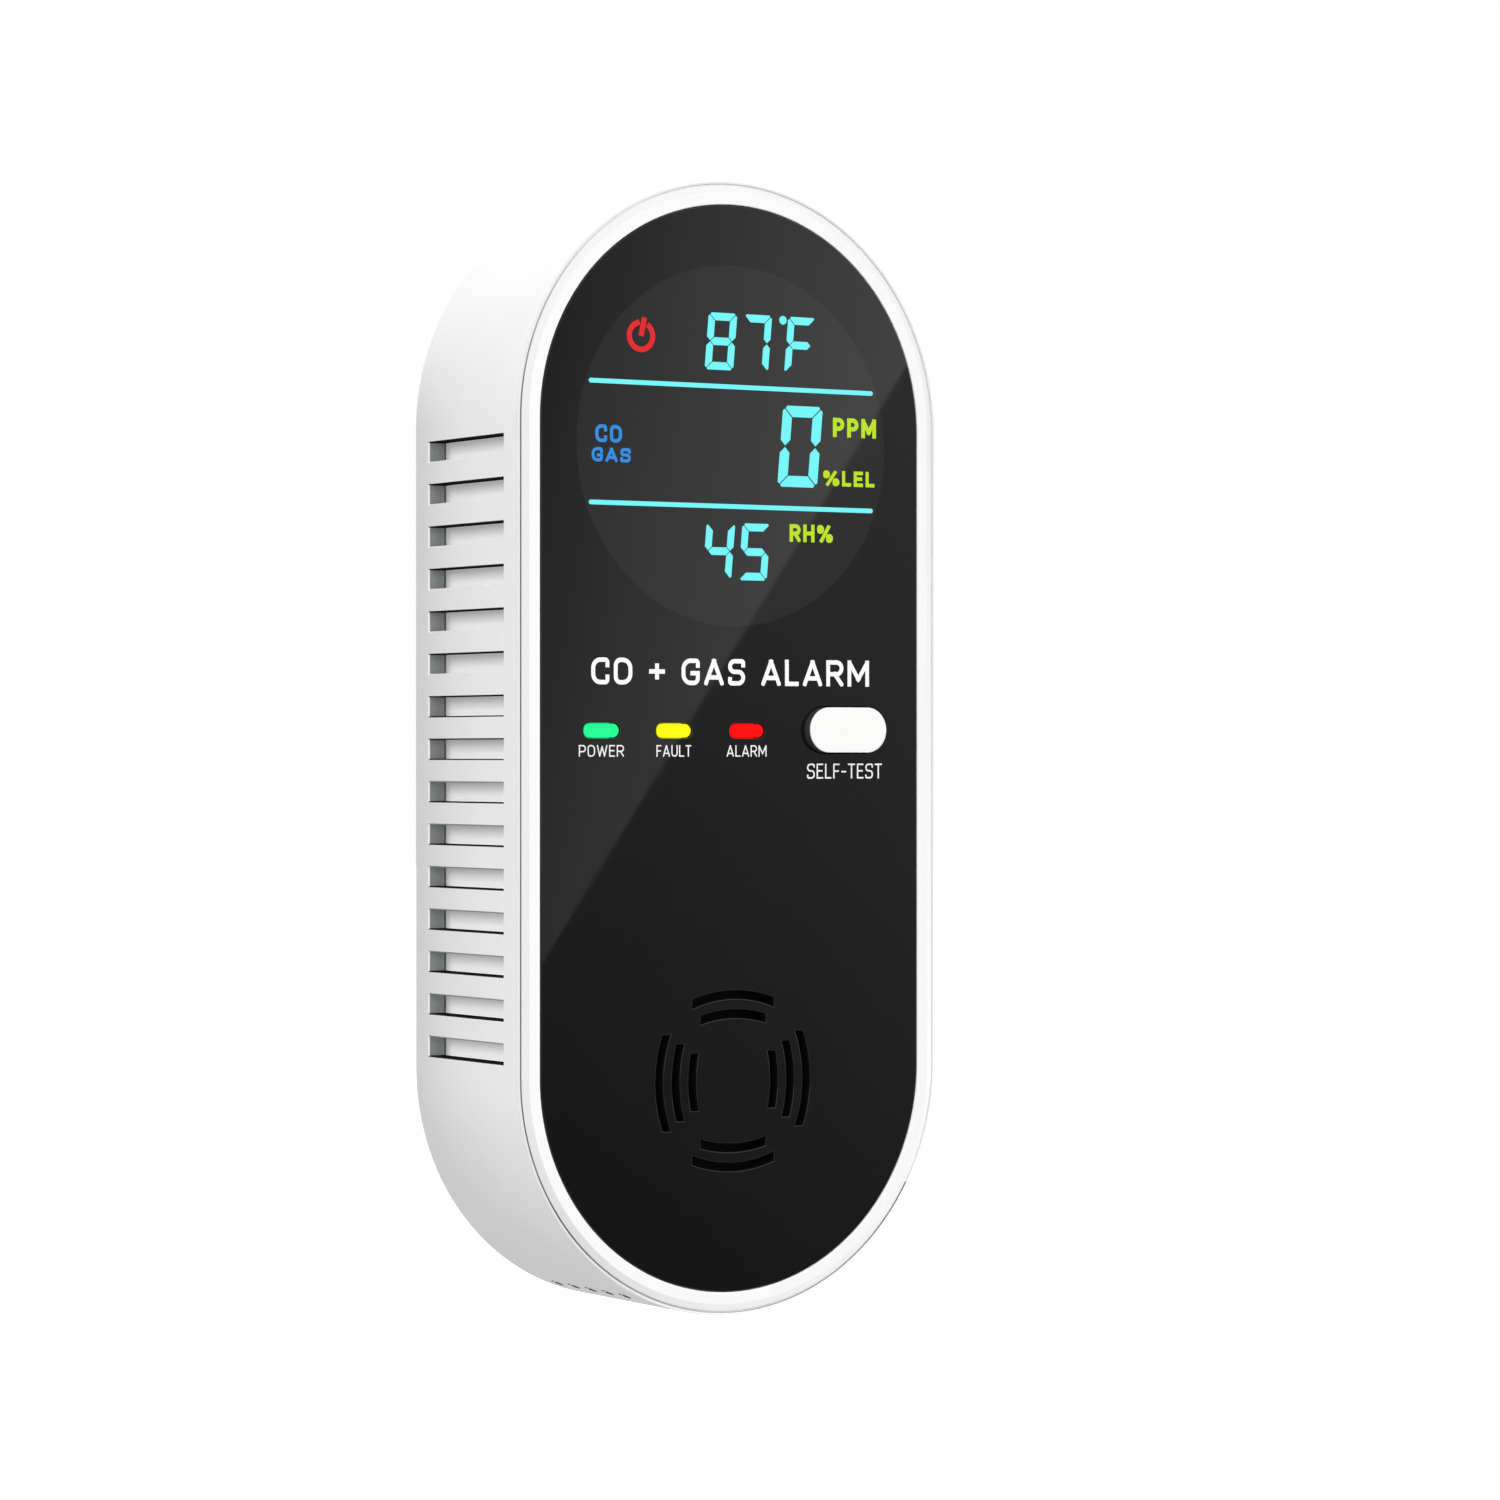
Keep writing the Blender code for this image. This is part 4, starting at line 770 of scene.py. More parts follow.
def cut_slots(shape, front, back, inner):
    """Opens the slots between the two walls and breaks their outer edges, with painted shade on the slots'
    walls and chamfers.
    """
    slots = slot_edges()
    near = 1e-6

    def spans_slot(face):
        middle = face.calc_center_median()
        flat_side = abs(abs(middle.x) - END_RADIUS) < near or abs(abs(middle.x) - inner) < near
        deep = y_at(front) < middle.y < y_at(back)
        return flat_side and deep and any(low < middle.z < high for low, high in slots)

    gone = [face for face in shape.faces if spans_slot(face)]
    bmesh.ops.delete(shape, geom=gone, context="FACES_ONLY")
    found = {tuple(round(value / near) for value in vert.co): vert for vert in shape.verts}

    def vert_at(x, depth, z):
        return found[tuple(round(value / near) for value in Vector((x, y_at(depth), z)))]

    shaded, deep, grazed = (HOUSING_FINISHES.index(item) for item in (SHADE, DEEP, SLOT_SIDE_PAINTED_SHADE))
    outer_edges = []
    for side in (-1, 1):
        for low, high in slots:
            corners = [(front, low), (back, low), (back, high), (front, high)]
            outer = [vert_at(side * END_RADIUS, *corner) for corner in corners]
            behind = [vert_at(side * inner, *corner) for corner in corners]
            for index in range(4):
                after = (index + 1) % 4
                face = shape.faces.new((outer[index], outer[after], behind[after], behind[index]))
                # Painted shade: grey on the end walls, and the slot-side painted shade on the floors and
                # ceilings.
                face.material_index = shaded if index % 2 else grazed
                outer_edges.append(shape.edges.get((outer[index], outer[after])))
    bmesh.ops.recalc_face_normals(shape, faces=shape.faces)
    made = bmesh.ops.bevel(
        shape, geom=outer_edges, offset=SLOT_CHAMFER, segments=1, profile=0.5, affect="EDGES", material=0
    )
    # Painted shade on the chamfers: near black on the top edges of the upper slots and on the bottom edges
    # of the lower slots up to the one just above the middle, grey on the top edges of the lower slots.
    for face in made["faces"]:
        middle = face.calc_center_median().z
        upper = middle > SLOTS_Z
        if face.normal.z < -0.3:
            face.material_index = deep if upper else shaded
        elif face.normal.z > 0.3 and middle < SLOTS_Z + 1.5 * SLOT_PITCH:
            face.material_index = deep


def lower_vents():
    """Radial rods for the rows of round vents in the lower end."""
    rods = bmesh.new()
    for row in range(VENT_ROWS):
        turn = Matrix.Rotation((row - (VENT_ROWS - 1) / 2) * VENT_ROW_ANGLE, 4, "Y")
        out = turn @ Vector((0, 0, -(END_RADIUS - WALL / 2)))
        for column in range(VENT_ROWS):
            depth = VENT_FIRST_DEPTH + column * VENT_PITCH
            place = Matrix.Translation((out.x, y_at(depth), LOWER_Z + out.z)) @ turn
            add_rod(rods, VENT_RADIUS, 8 * MM, place, 24)
    return rods


def in_lower_wall(place):
    """Whether a point is inside the thickness of the lower end's wall, as the vents' sides are."""
    skin = 0.05 * MM
    radius = math.hypot(place.x, place.z - LOWER_Z)
    deep = y_at(VENT_FIRST_DEPTH - VENT_PITCH) < place.y < y_at(VENT_FIRST_DEPTH + VENT_ROWS * VENT_PITCH)
    below = place.z < LOWER_Z - END_RADIUS / 2
    return below and deep and END_RADIUS - WALL + skin < radius < END_RADIUS - skin


def screw_centres(prefix):
    """The (x, z) places of the frame's screws whose names start with this."""
    places = []
    for name in sorted(frame["nodes"]):
        if name.startswith(prefix):
            low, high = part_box(name)
            places.append(((low.x + high.x) / 2, (low.z + high.z) / 2))
    return places


CASE_SCREWS = screw_centres("case_screw")
BOARD_SCREWS = screw_centres("board_screw")
POWER_SCREWS = screw_centres("power_board_screw")


def pins(places, radius, front, back):
    """Round bars along Y between two depths."""
    return [turned([(radius, front), (radius, back)], x, z) for x, z in places]


def collar():
    """The round collar behind the case, with a small fillet at its root and a broken edge."""
    fillet = 0.35 * MM
    profile = [(PLUG_RADIUS + fillet, BODY_DEPTH - 1.0 * MM)]
    for step in range(EDGE_STEPS + 1):
        turn = math.pi / 2 * step / EDGE_STEPS
        radius = PLUG_RADIUS + fillet * (1 - math.sin(turn))
        profile.append((radius, BODY_DEPTH + fillet * (1 - math.cos(turn))))
    edge = 0.12 * MM
    profile += [(PLUG_RADIUS, COLLAR_BACK - edge), (PLUG_RADIUS - edge, COLLAR_BACK)]
    return turned(profile, steps=ROUND_STEPS)


def rear_housing():
    inside = BACK_INSIDE - OVER
    outside = COLLAR_BACK + OVER
    post_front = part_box("power_board")[1].y - FRONT_Y + GAP
    pads = pins(CASE_SCREWS, PAD_RADIUS, SKIRT_BACK + GAP, BACK_INSIDE + OVER)
    posts = pins(POWER_SCREWS, POST_RADIUS, post_front, BACK_INSIDE + OVER)
    pocket = turned([(POCKET_RADIUS, inside), (POCKET_RADIUS, COLLAR_LEDGE)], steps=ROUND_STEPS)
    bore = turned([(BORE_RADIUS, inside), (BORE_RADIUS, outside)], steps=ROUND_STEPS)
    notches = []
    for angle in bayonet_angles():
        notch = sector(BORE_RADIUS - OVER, POCKET_RADIUS, angle, NOTCH_ANGLE)
        notches.append(flat([notch], COLLAR_LEDGE - OVER, outside))
    nub_hole = rounded([(x, z, 0.35 * MM) for x, z in box_outline(*grown(LATCH_NUB_BOX, GAP))])
    latch_hole = flat([nub_hole], inside, LATCH_NUB_BACK + GAP)
    pin_hole = pins([(0.0, LATCH_PIN_Z)], LATCH_PIN_RADIUS + GAP, inside, outside)
    seat_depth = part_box("case_screw_1")[1].y - FRONT_Y - 1.5 * MM
    seats = pins(CASE_SCREWS, CASE_BOSS_RADIUS, seat_depth, BODY_DEPTH + OVER)
    holes = pins(CASE_SCREWS, SHANK_HOLE, SKIRT_BACK - OVER, BODY_DEPTH)
    pilots = pins(POWER_SCREWS, PILOT_HOLE, post_front - OVER, inside)
    mesh = carve(
        slotted_shell(),
        HOUSING_FINISHES,
        joined=[collar(), *pads, *posts],
        cut=[lower_vents(), pocket, bore, *notches, latch_hole, *pin_hole, *seats, *holes, *pilots],
    )
    # Painted shade: the vents' sides are near black.
    paint(mesh, DEEP, lambda centre, normal: in_lower_wall(centre) and abs(normal.y) < 0.99)
    # Painted light and shade on the case's front rim.
    paint(mesh, FRONT_EDGE_PAINTED_LIGHT_AND_SHADE, front_edge(RIM_FRONT + RIM_ROUND, RIM_INNER))
    piece("rear_housing_shell", mesh, "case", SHELL, ["rear_housing"])


# ---- release latch

LATCH_PLATE_DEPTHS = (19.6 * MM, 21.15 * MM)
LATCH_NUB_BACK = 26.0 * MM
LATCH_PIN_Z = -16.9 * MM
LATCH_PIN_RADIUS = 0.75 * MM
LATCH_SPRING_Z = -19.2 * MM
LATCH_NUB_BOX = (-3.5 * MM, 3.5 * MM, -21.5 * MM, -18.6 * MM)
LATCH_GROOVE = 1.3 * MM


def grown(sides, by):
    x0, x1, z0, z1 = sides
    return (x0 - by, x1 + by, z0 - by, z1 + by)


def release_latch():
    front, back = LATCH_PLATE_DEPTHS
    outline = box_outline(LATCH_LOW.x, LATCH_HIGH.x, LATCH_LOW.z, LATCH_HIGH.z)
    plate = flat([outline], front, back, edge=0.1 * MM)
    corners = [(x, z, 0.6 * MM) for x, z in box_outline(*LATCH_NUB_BOX)]
    # Made mirrored, because flat() rounds the front edge and the nub is rounded at the back
    nub = flat([rounded(corners)], -LATCH_NUB_BACK, -(front + 0.5 * MM), edge=0.45 * MM)
    bmesh.ops.scale(nub, vec=(1, -1, 1), space=Matrix.Translation((0, -FRONT_Y, 0)), verts=nub.verts)
    bmesh.ops.reverse_faces(nub, faces=nub.faces)
    pin_end = LATCH_HIGH.y - FRONT_Y
    tip = 0.15 * MM
    root = front + 0.4 * MM
    sides = [(LATCH_PIN_RADIUS, root), (LATCH_PIN_RADIUS, pin_end - tip), (LATCH_PIN_RADIUS - tip, pin_end)]
    pin = turned(sides, 0.0, LATCH_PIN_Z)
    seat = pins([(0.0, LATCH_SPRING_Z)], 1.1 * MM, LATCH_LOW.y - FRONT_Y, root)
    mesh = carve(plate, [LATCH], joined=[nub, pin, *seat])
    piece("release_latch_slide", mesh, "release_latch", LATCH, ["release_latch"])


def latch_spring():
    """A coil in front of the latch plate, riding on the case."""
    low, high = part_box("latch_spring")
    wire = 0.25 * MM
    coil = (high.x - low.x) / 2 - wire
    turns, steps, sides = 5, 26, 10
    front, back = low.y + wire, high.y - wire
    count = turns * steps
    middle_x = (low.x + high.x) / 2
    rings = []
    for index in range(count + 1):
        share = index / count
        turn = 2 * math.pi * index / steps
        out = Vector((math.cos(turn), 0.0, math.sin(turn)))
        # The end coils lie flat, so the pitch eases in and out over the last half turns
        eased = min(1.0, max(0.0, (share - 0.1) / 0.8))
        centre = Vector((middle_x, front + (back - front) * eased, LATCH_SPRING_Z)) + out * coil
        ring = []
        for side in range(sides):
            around = 2 * math.pi * side / sides
            spoke = out * math.cos(around) + Vector((0.0, math.sin(around), 0.0))
            ring.append(centre + spoke * wire)
        rings.append(ring)
    item = piece(
        "latch_spring_coil", loft(rings), "case", SPRING, ["latch_spring"], 50.0, False
    )
    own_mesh(item)


def case_screws():
    """Pan heads with a cross recess, sunk in the back of the case, on plain shanks."""
    for number, (x, z) in enumerate(CASE_SCREWS, start=1):
        node = f"case_screw_{number}"
        low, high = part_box(node)
        top = high.y - FRONT_Y
        tip = low.y - FRONT_Y
        head_radius = (high.x - low.x) / 2
        seat = top - SCREW_HEAD
        profile = rounded(
            [
                (POINT, tip, 0.0),
                (SCREW_SHANK / 2, tip, 0.0),
                (SCREW_SHANK, tip + SCREW_SHANK, 0.0),
                (SCREW_SHANK, seat, 0.0),
                (head_radius, seat, 0.1 * MM),
                (head_radius, top, 0.7 * MM),
                (POINT, top, 0.0),
            ],
            closed=False,
        )
        bar = box_outline(
            -RECESS_HALF_LENGTH, RECESS_HALF_LENGTH, -RECESS_HALF_WIDTH, RECESS_HALF_WIDTH
        )
        recess = []
        # Each screw stopped at a turn of its own
        for turn in (0.35 + number, 0.35 + number + math.pi / 2):
            spun = [Matrix.Rotation(turn, 2) @ Vector(corner) for corner in bar]
            moved = [(x + corner.x, z + corner.y) for corner in spun]
            recess.append(flat([moved], top - RECESS_DEPTH, top + OVER))
        mesh = carve(turned(profile, x, z, 48), [SCREW], cut=recess)
        piece(node + "_pan_head", mesh, "case", SCREW, [node])


# ---- front


def front_bezel():
    """The white ring round the window, its ledge and the skirt inside the case."""
    ledge_front = WINDOW_THICKNESS + FINE_GAP
    nest = RIM_INNER - 0.02 * MM
    profile = rounded(
        [
            (RING_SEAT, 0.0, SOFT),
            (RING_CREASE, 0.0, 0.1 * MM),
            (RING_EDGE, RING_BEVEL_DEPTH, SOFT),
            (RING_EDGE, GROOVE_DEPTH, 0.0),
            (nest, GROOVE_DEPTH, 0.0),
            (nest, RING_NEST_DEPTH, 0.0),
            (SKIRT_OUTER, RING_NEST_DEPTH, 0.0),
            (SKIRT_OUTER, SKIRT_BACK, SOFT),
            (SKIRT_INNER, SKIRT_BACK, SOFT),
            (SKIRT_INNER, LEDGE_BACK, 0.3 * MM),
            (LEDGE_RADIUS, LEDGE_BACK, SOFT),
            (LEDGE_RADIUS, ledge_front, 0.0),
            (RING_SEAT, ledge_front, 0.0),
        ]
    )
    board_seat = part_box("main_board")[0].y - FRONT_Y - GAP
    joined = pins(CASE_SCREWS, CASE_BOSS_RADIUS, BOSS_FRONT, SKIRT_BACK)
    joined += pins(BOARD_SCREWS, BOARD_BOSS_RADIUS, BOSS_FRONT, board_seat)
    opening = box_outline(-10 * MM, 10 * MM, CASE_LOW.z - OVER, CASE_LOW.z + 12 * MM)
    cut = [flat([opening], LEDGE_BACK + OVER, SKIRT_BACK + OVER)]
    cut += pins(CASE_SCREWS, SHANK_HOLE, PILOT_FRONT, SKIRT_BACK + OVER)
    cut += pins(BOARD_SCREWS, PILOT_HOLE, LEDGE_BACK, board_seat + OVER)
    finishes = [SHELL, PAINTED_LIGHT_BAFFLE, GROOVE, FRONT_EDGE_PAINTED_LIGHT_AND_SHADE]
    mesh = carve(case_loft(profile, closed=True), finishes, joined=joined, cut=cut)
    skin = 0.01 * MM
    behind = y_at(LEDGE_BACK)
    # Painted light and shade on the skirt's outer face behind the slots.
    paint(mesh, PAINTED_LIGHT_BAFFLE, lambda centre, normal: abs(abs(centre.x) - SKIRT_OUTER) < skin and centre.y > behind)
    # Painted light and shade in the groove round the ring.
    paint(mesh, GROOVE, front_edge(GROOVE_DEPTH + skin, RING_CREASE))
    # Painted light and shade on the ring's bevel.
    paint(mesh, FRONT_EDGE_PAINTED_LIGHT_AND_SHADE, front_edge(RING_BEVEL_DEPTH + skin, RING_CREASE))
    piece("front_bezel_ring", mesh, "case", SHELL, ["front_bezel"])


LIGHTS = (("power", GREEN_LIGHT), ("fault", YELLOW_LIGHT), ("alarm", RED_LIGHT))
# Corner radius of the lights and their openings, as a share of their height
LIGHT_ROUNDING = 0.45


def box_middle(name):
    """The centre x and z of a node, and its width and height."""
    low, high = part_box(name)
    return (low.x + high.x) / 2, (low.z + high.z) / 2, high.x - low.x, high.z - low.z


BUTTON_FLANGE_GROW = 2.0 * MM
BUTTON_X, BUTTON_Z, FLANGE_WIDTH, FLANGE_HEIGHT = box_middle("test_button")
BUTTON_WIDTH = FLANGE_WIDTH - BUTTON_FLANGE_GROW
BUTTON_HEIGHT = FLANGE_HEIGHT - BUTTON_FLANGE_GROW
BUTTON_CAP = 0.13 * MM
BUTTON_FOOT_RADIUS = 1.7 * MM
BUTTON_STEPS = 28


def front_window():
    holes = []
    for name, _ in LIGHTS:
        x, z, width, height = box_middle(f"{name}_light_pipe")
        holes.append(soft_box(x, z, width, height, LIGHT_ROUNDING * height))
    holes.append(pill(BUTTON_X, BUTTON_Z, BUTTON_WIDTH, BUTTON_HEIGHT + 0.1 * MM, BUTTON_STEPS))
    for degrees, count in GRILLE_ARMS:
        for index in range(count):
            reach = GRILLE_REACH - index * GRILLE_PITCH
            holes.append(grille_slot(reach, GRILLE_HALF_LENGTH - index * GRILLE_STEP, degrees))
    shape = flat([stadium(WINDOW_RADIUS)], 0.0, WINDOW_THICKNESS, holes, edge=0.06 * MM, rounds=2)
    mesh = mesh_of("front_window_panel", shape)
    mesh.materials.append(WINDOW)
    mesh.materials.append(GRILLE_WALL)
    rim = WINDOW_RADIUS - 1.0 * MM
    paint(mesh, GRILLE_WALL, lambda centre, normal: abs(normal.y) < 0.1 and within_stadium(centre, rim))
    piece(mesh.name, mesh, "case", WINDOW, ["front_window"], smooth=20.0)


def light_pipes():
    for name, material in LIGHTS:
        node = f"{name}_light_pipe"
        low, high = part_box(node)
        x, z, width, height = box_middle(node)
        back = high.y - FRONT_Y
        outline = soft_box(x, z, width - 0.3 * MM, height - 0.2 * MM, LIGHT_ROUNDING * height)
        shape = flat([outline], 0.06 * MM, back, edge=0.05 * MM)
        piece(f"{name}_lens", shape, "case", material, [node])


def test_button():
    """The rounded white cap on its dark stem, with the flange and foot behind the window. The stem's near
    black is painted shade round the cap.
    """
    front = BUTTON_LOW.y - FRONT_Y
    back = BUTTON_HIGH.y - FRONT_Y
    stem_front = front + BUTTON_CAP
    flange_front, flange_back = 1.9 * MM, 2.7 * MM
    outline = pill(BUTTON_X, BUTTON_Z, BUTTON_WIDTH - 0.3 * MM, BUTTON_HEIGHT - 0.12 * MM, BUTTON_STEPS)
    cap = flat([outline], front, stem_front, edge=0.06 * MM)
    piece("test_button_cap", cap, "test_button", BUTTON)
    stem = flat([outline], stem_front, flange_front + 0.2 * MM)
    flange_outline = pill(BUTTON_X, BUTTON_Z, FLANGE_WIDTH, FLANGE_HEIGHT, BUTTON_STEPS)
    flange = flat([flange_outline], flange_front, flange_back)
    foot = pins([(BUTTON_X, BUTTON_Z)], BUTTON_FOOT_RADIUS, flange_front + 0.1 * MM, back)
    mesh = carve(flange, [BUTTON_STEM_PAINTED_SHADE], joined=[stem, *foot])
    piece("test_button_stem", mesh, "test_button", BUTTON_STEM_PAINTED_SHADE, ["test_button"])


# ---- lettering and display

PRINT_FRONT = -0.02 * MM
PRINT_BACK = 0.03 * MM


def printed(name, outlines, material, clips=()):
    """A thin raised print on the window's face."""
    piece(name, flat(outlines, PRINT_FRONT, PRINT_BACK, clips=clips), "case", material, weighted=False)


def percent_ring(x, z):
    """One of the two small rings of a percent sign."""
    wide, high = 0.28, 0.18
    return [(x, z, 0), (x, z - high, 1), (x + wide, z - high, 1), (x + wide, z + high, 1),
            (x, z + high, 1), (x, z, 0)]


# Centre lines of capital letters in a unit square, as (x, z, rounding) paths, with each width
STEM = [(0, 0, 0), (0, 1, 0)]
GLYPHS = {
    "A": (0.76, [[(0, 0, 0), (0.5, 1, 0)], [(1, 0, 0), (0.5, 1, 0)], [(0.2, 0.26, 0), (0.8, 0.26, 0)]]),
    "C": (0.68, [[(1, 0.76, 0), (1, 1, 1), (0, 1, 1), (0, 0, 1), (1, 0, 1), (1, 0.24, 0)]]),
    "E": (0.56, [STEM, [(0, 1, 0), (1, 1, 0)], [(0, 0.52, 0), (0.88, 0.52, 0)], [(0, 0, 0), (1, 0, 0)]]),
    "F": (0.54, [STEM, [(0, 1, 0), (1, 1, 0)], [(0, 0.5, 0), (0.86, 0.5, 0)]]),
    "G": (0.70, [[(1, 0.78, 0), (1, 1, 1), (0, 1, 1), (0, 0, 1), (1, 0, 1), (1, 0.44, 0), (0.62, 0.44, 0)]]),
    "H": (0.70, [STEM, [(1, 0, 0), (1, 1, 0)], [(0, 0.5, 0), (1, 0.5, 0)]]),
    "L": (0.54, [STEM, [(0, 0, 0), (1, 0, 0)]]),
    "M": (0.86, [STEM, [(1, 0, 0), (1, 1, 0)], [(0, 1, 0), (0.5, 0.24, 0)], [(1, 1, 0), (0.5, 0.24, 0)]]),
    "O": (0.70, [[(0, 0.5, 0), (0, 0, 1), (1, 0, 1), (1, 1, 1), (0, 1, 1), (0, 0.5, 0)]]),
    "P": (0.66, [STEM, [(0, 1, 0), (1, 1, 1), (1, 0.42, 1), (0, 0.42, 0)]]),
    "R": (0.68, [STEM, [(0, 1, 0), (1, 1, 1), (1, 0.46, 1), (0, 0.46, 0)], [(0.5, 0.46, 0), (1, 0, 0)]]),
    "S": (0.66, [[(1, 0.82, 0), (1, 1, 0.8), (0, 1, 0.8), (0, 0.52, 0.8), (1, 0.52, 0.8), (1, 0, 0.8),
                  (0, 0, 0.8), (0, 0.18, 0)]]),
    "T": (0.62, [[(0, 1, 0), (1, 1, 0)], [(0.5, 0, 0), (0.5, 1, 0)]]),
    "U": (0.68, [[(0, 1, 0), (0, 0, 1), (1, 0, 1), (1, 1, 0)]]),
    "W": (1.0, [[(0, 1, 0), (0.25, 0, 0)], [(0.5, 0.9, 0), (0.25, 0, 0)],
                [(0.5, 0.9, 0), (0.75, 0, 0)], [(1, 1, 0), (0.75, 0, 0)]]),
    "+": (0.60, [[(0, 0.5, 0), (1, 0.5, 0)], [(0.5, 0.24, 0), (0.5, 0.76, 0)]]),
    "%": (0.98, [[(0.22, 0, 0), (0.78, 1, 0)], percent_ring(0.0, 0.82), percent_ring(0.72, 0.18)]),
    "-": (0.40, [[(0, 0.46, 0), (1, 0.46, 0)]]),
    " ": (0.30, []),
}
LETTER_GAP = 0.17


def stroke(path, width):
    """Convex outlines that together fill a stroke: a bar for each step and a wedge at each turn."""
    points = [Vector(path[0])]
    for place in path[1:]:
        if (Vector(place) - points[-1]).length > 0.002 * width:
            points.append(Vector(place))
    steps = [(b - a).normalized() for a, b in zip(points, points[1:])]
    points[0] = points[0] - steps[0] * width / 2
    points[-1] = points[-1] + steps[-1] * width / 2
    outlines = []
    for first, second, step in zip(points, points[1:], steps):
        side = Vector((-step.y, step.x)) * width / 2
        outlines.append([first - side, second - side, second + side, first + side])
    for point, before, after in zip(points[1:], steps, steps[1:]):
        turn = before.x * after.y - before.y * after.x
        if abs(turn) < 0.001:
            continue
        outer = -1 if turn > 0 else 1
        sides = [Vector((-step.y, step.x)) * outer * width / 2 for step in (before, after)]
        middle = sides[0] + sides[1]
        mitre = middle * (width * width / 4) / (middle.dot(sides[0]))
        outlines.append([point, point + sides[0], point + mitre, point + sides[1]])
    return [[(corner.x, corner.y) for corner in outline] for outline in outlines]


def lettering(text, x_range, z_range, weight):
    """Strokes and letter boxes of capitals fitted to a box, with a stroke weight by height."""
    low, high = z_range
    height = high - low
    width = weight * height
    natural = sum(GLYPHS[letter][0] + LETTER_GAP for letter in text) - LETTER_GAP
    unit = (x_range[1] - x_range[0]) / natural
    quads, boxes = [], []
    x = x_range[0]
    for letter in text:
        share, paths = GLYPHS[letter]
        across = share * unit - width
        reach = height - width
        for path in paths:
            corner = min(across, reach) / 2
            placed = [
                (x + width / 2 + px * across, low + width / 2 + pz * reach, rounding * corner)
                for px, pz, rounding in path
            ]
            quads += stroke(rounded(placed, steps=7, closed=False), width)
        if paths:
            boxes.append(box_outline(x, x + share * unit, low, high))
        x += (share + LETTER_GAP) * unit
    return quads, boxes


def print_text(name, text, x_range, z_range, weight, material):
    quads, boxes = lettering(text, x_range, z_range, weight)
    printed(name, quads, material, boxes)


SEGMENTS = {
    "0": "abcdef", "4": "bcfg", "5": "acdfg", "7": "abc", "8": "abcdefg", "F": "aefg",
}
SLANT = math.tan(math.radians(5.0))


def digit(character, x, z, width, height, thick):
    """Outlines of a slanted seven-segment character with its lower left corner at (x, z)."""
    gap = 0.075 * thick
    cut = 0.42 * thick
    half = height / 2
    near = thick + gap
    far = width - near
    top = [
        (cut, 0), (width - cut, 0), (width - cut / 2 - gap, -cut / 2),
        (far, -thick), (near, -thick), (cut / 2 + gap, -cut / 2),
    ]
    end = half - thick / 2 - gap
    side = [
        (cut / 2, -cut / 2 - gap), (thick, -near), (thick, -end),
        (thick / 2, -half + gap), (0, -end), (0, -cut),
    ]
    bar = [
        (thick / 2 + gap, 0), (near, thick / 2), (far, thick / 2),
        (width - thick / 2 - gap, 0), (far, -thick / 2), (near, -thick / 2),
    ]
    shapes = {
        "a": [(px, height + pz) for px, pz in top],
        "d": [(px, -pz) for px, pz in top],
        "f": [(px, height + pz) for px, pz in side],
        "b": [(width - px, height + pz) for px, pz in side],
        "e": [(px, -pz) for px, pz in side],
        "c": [(width - px, -pz) for px, pz in side],
        "g": [(px, half + pz) for px, pz in bar],
    }
    lit = [shapes[segment] for segment in SEGMENTS[character]]
    return [[(x + px + pz * SLANT, z + pz) for px, pz in outline] for outline in lit]


def digits(name, characters, z, width, height, thickness, extra=()):
    """Lit characters, given with their left ends, as one piece."""
    outlines = list(extra)
    for character, x in characters:
        outlines += digit(character, x, z, width, height, thickness)
    printed(name, outlines, CYAN)


def display_readings():
    """Everything the round display shows, placed from its centre."""
    z = READINGS_Z
    small = (3.58 * MM, 6.14 * MM, 0.84 * MM)
    degree = circle(6.3 * MM, z + 13.62 * MM, 0.47 * MM, 20)
    row = [("8", -3.62 * MM), ("7", 0.8 * MM), ("F", 6.44 * MM)]
    digits("temperature_reading", row, z + 7.9 * MM, *small, extra=[degree])
    digits("gas_reading", [("0", 5.57 * MM)], z - 4.4 * MM, 5.08 * MM, 8.8 * MM, 1.21 * MM)
    digits("humidity_reading", [("4", -3.88 * MM), ("5", 0.62 * MM)], z - 14.63 * MM, *small)
    for name, height in (("upper_rule", 6.14 * MM), ("lower_rule", -6.72 * MM)):
        printed(name, [pill(0.0, z + height, 35.8 * MM, 0.5 * MM, 8)], CYAN)
    # Each mark's text, left and right ends, bottom and top from the middle, stroke weight and colour
    marks = (
        ("co_mark", "CO", -17.1, -13.85, -0.36, 1.52, 0.2, BLUE),
        ("gas_mark", "GAS", -17.55, -12.78, -2.42, -0.9, 0.22, BLUE),
        ("ppm_mark", "PPM", 12.72, 18.32, 1.22, 3.32, 0.23, LIME),
        ("lel_mark", "%LEL", 11.47, 18.12, -4.14, -2.46, 0.23, LIME),
        ("rh_mark", "RH%", 7.15, 12.7, -10.34, -8.42, 0.22, LIME),
    )
    for name, text, left, right, low, high, weight, colour in marks:
        print_text(name, text, (left * MM, right * MM), (z + low * MM, z + high * MM), weight, colour)


def power_mark():
    """A ring open at the top, and a bar through the opening, leaning with the readings."""
    x, z = -11.51 * MM, READINGS_Z + 11.11 * MM
    lean = math.radians(78)
    opening = math.radians(62)
    path = arc(x, z, 1.44 * MM, lean + opening / 2, 2 * math.pi - opening, 48)
    quads = stroke(path, 0.6 * MM)
    out = Vector((math.cos(lean), math.sin(lean)))
    ends = [tuple(Vector((x, z)) + out * reach) for reach in (0.3 * MM, 1.7 * MM)]
    quads += stroke(ends, 0.62 * MM)
    printed("power_mark", quads, RED)


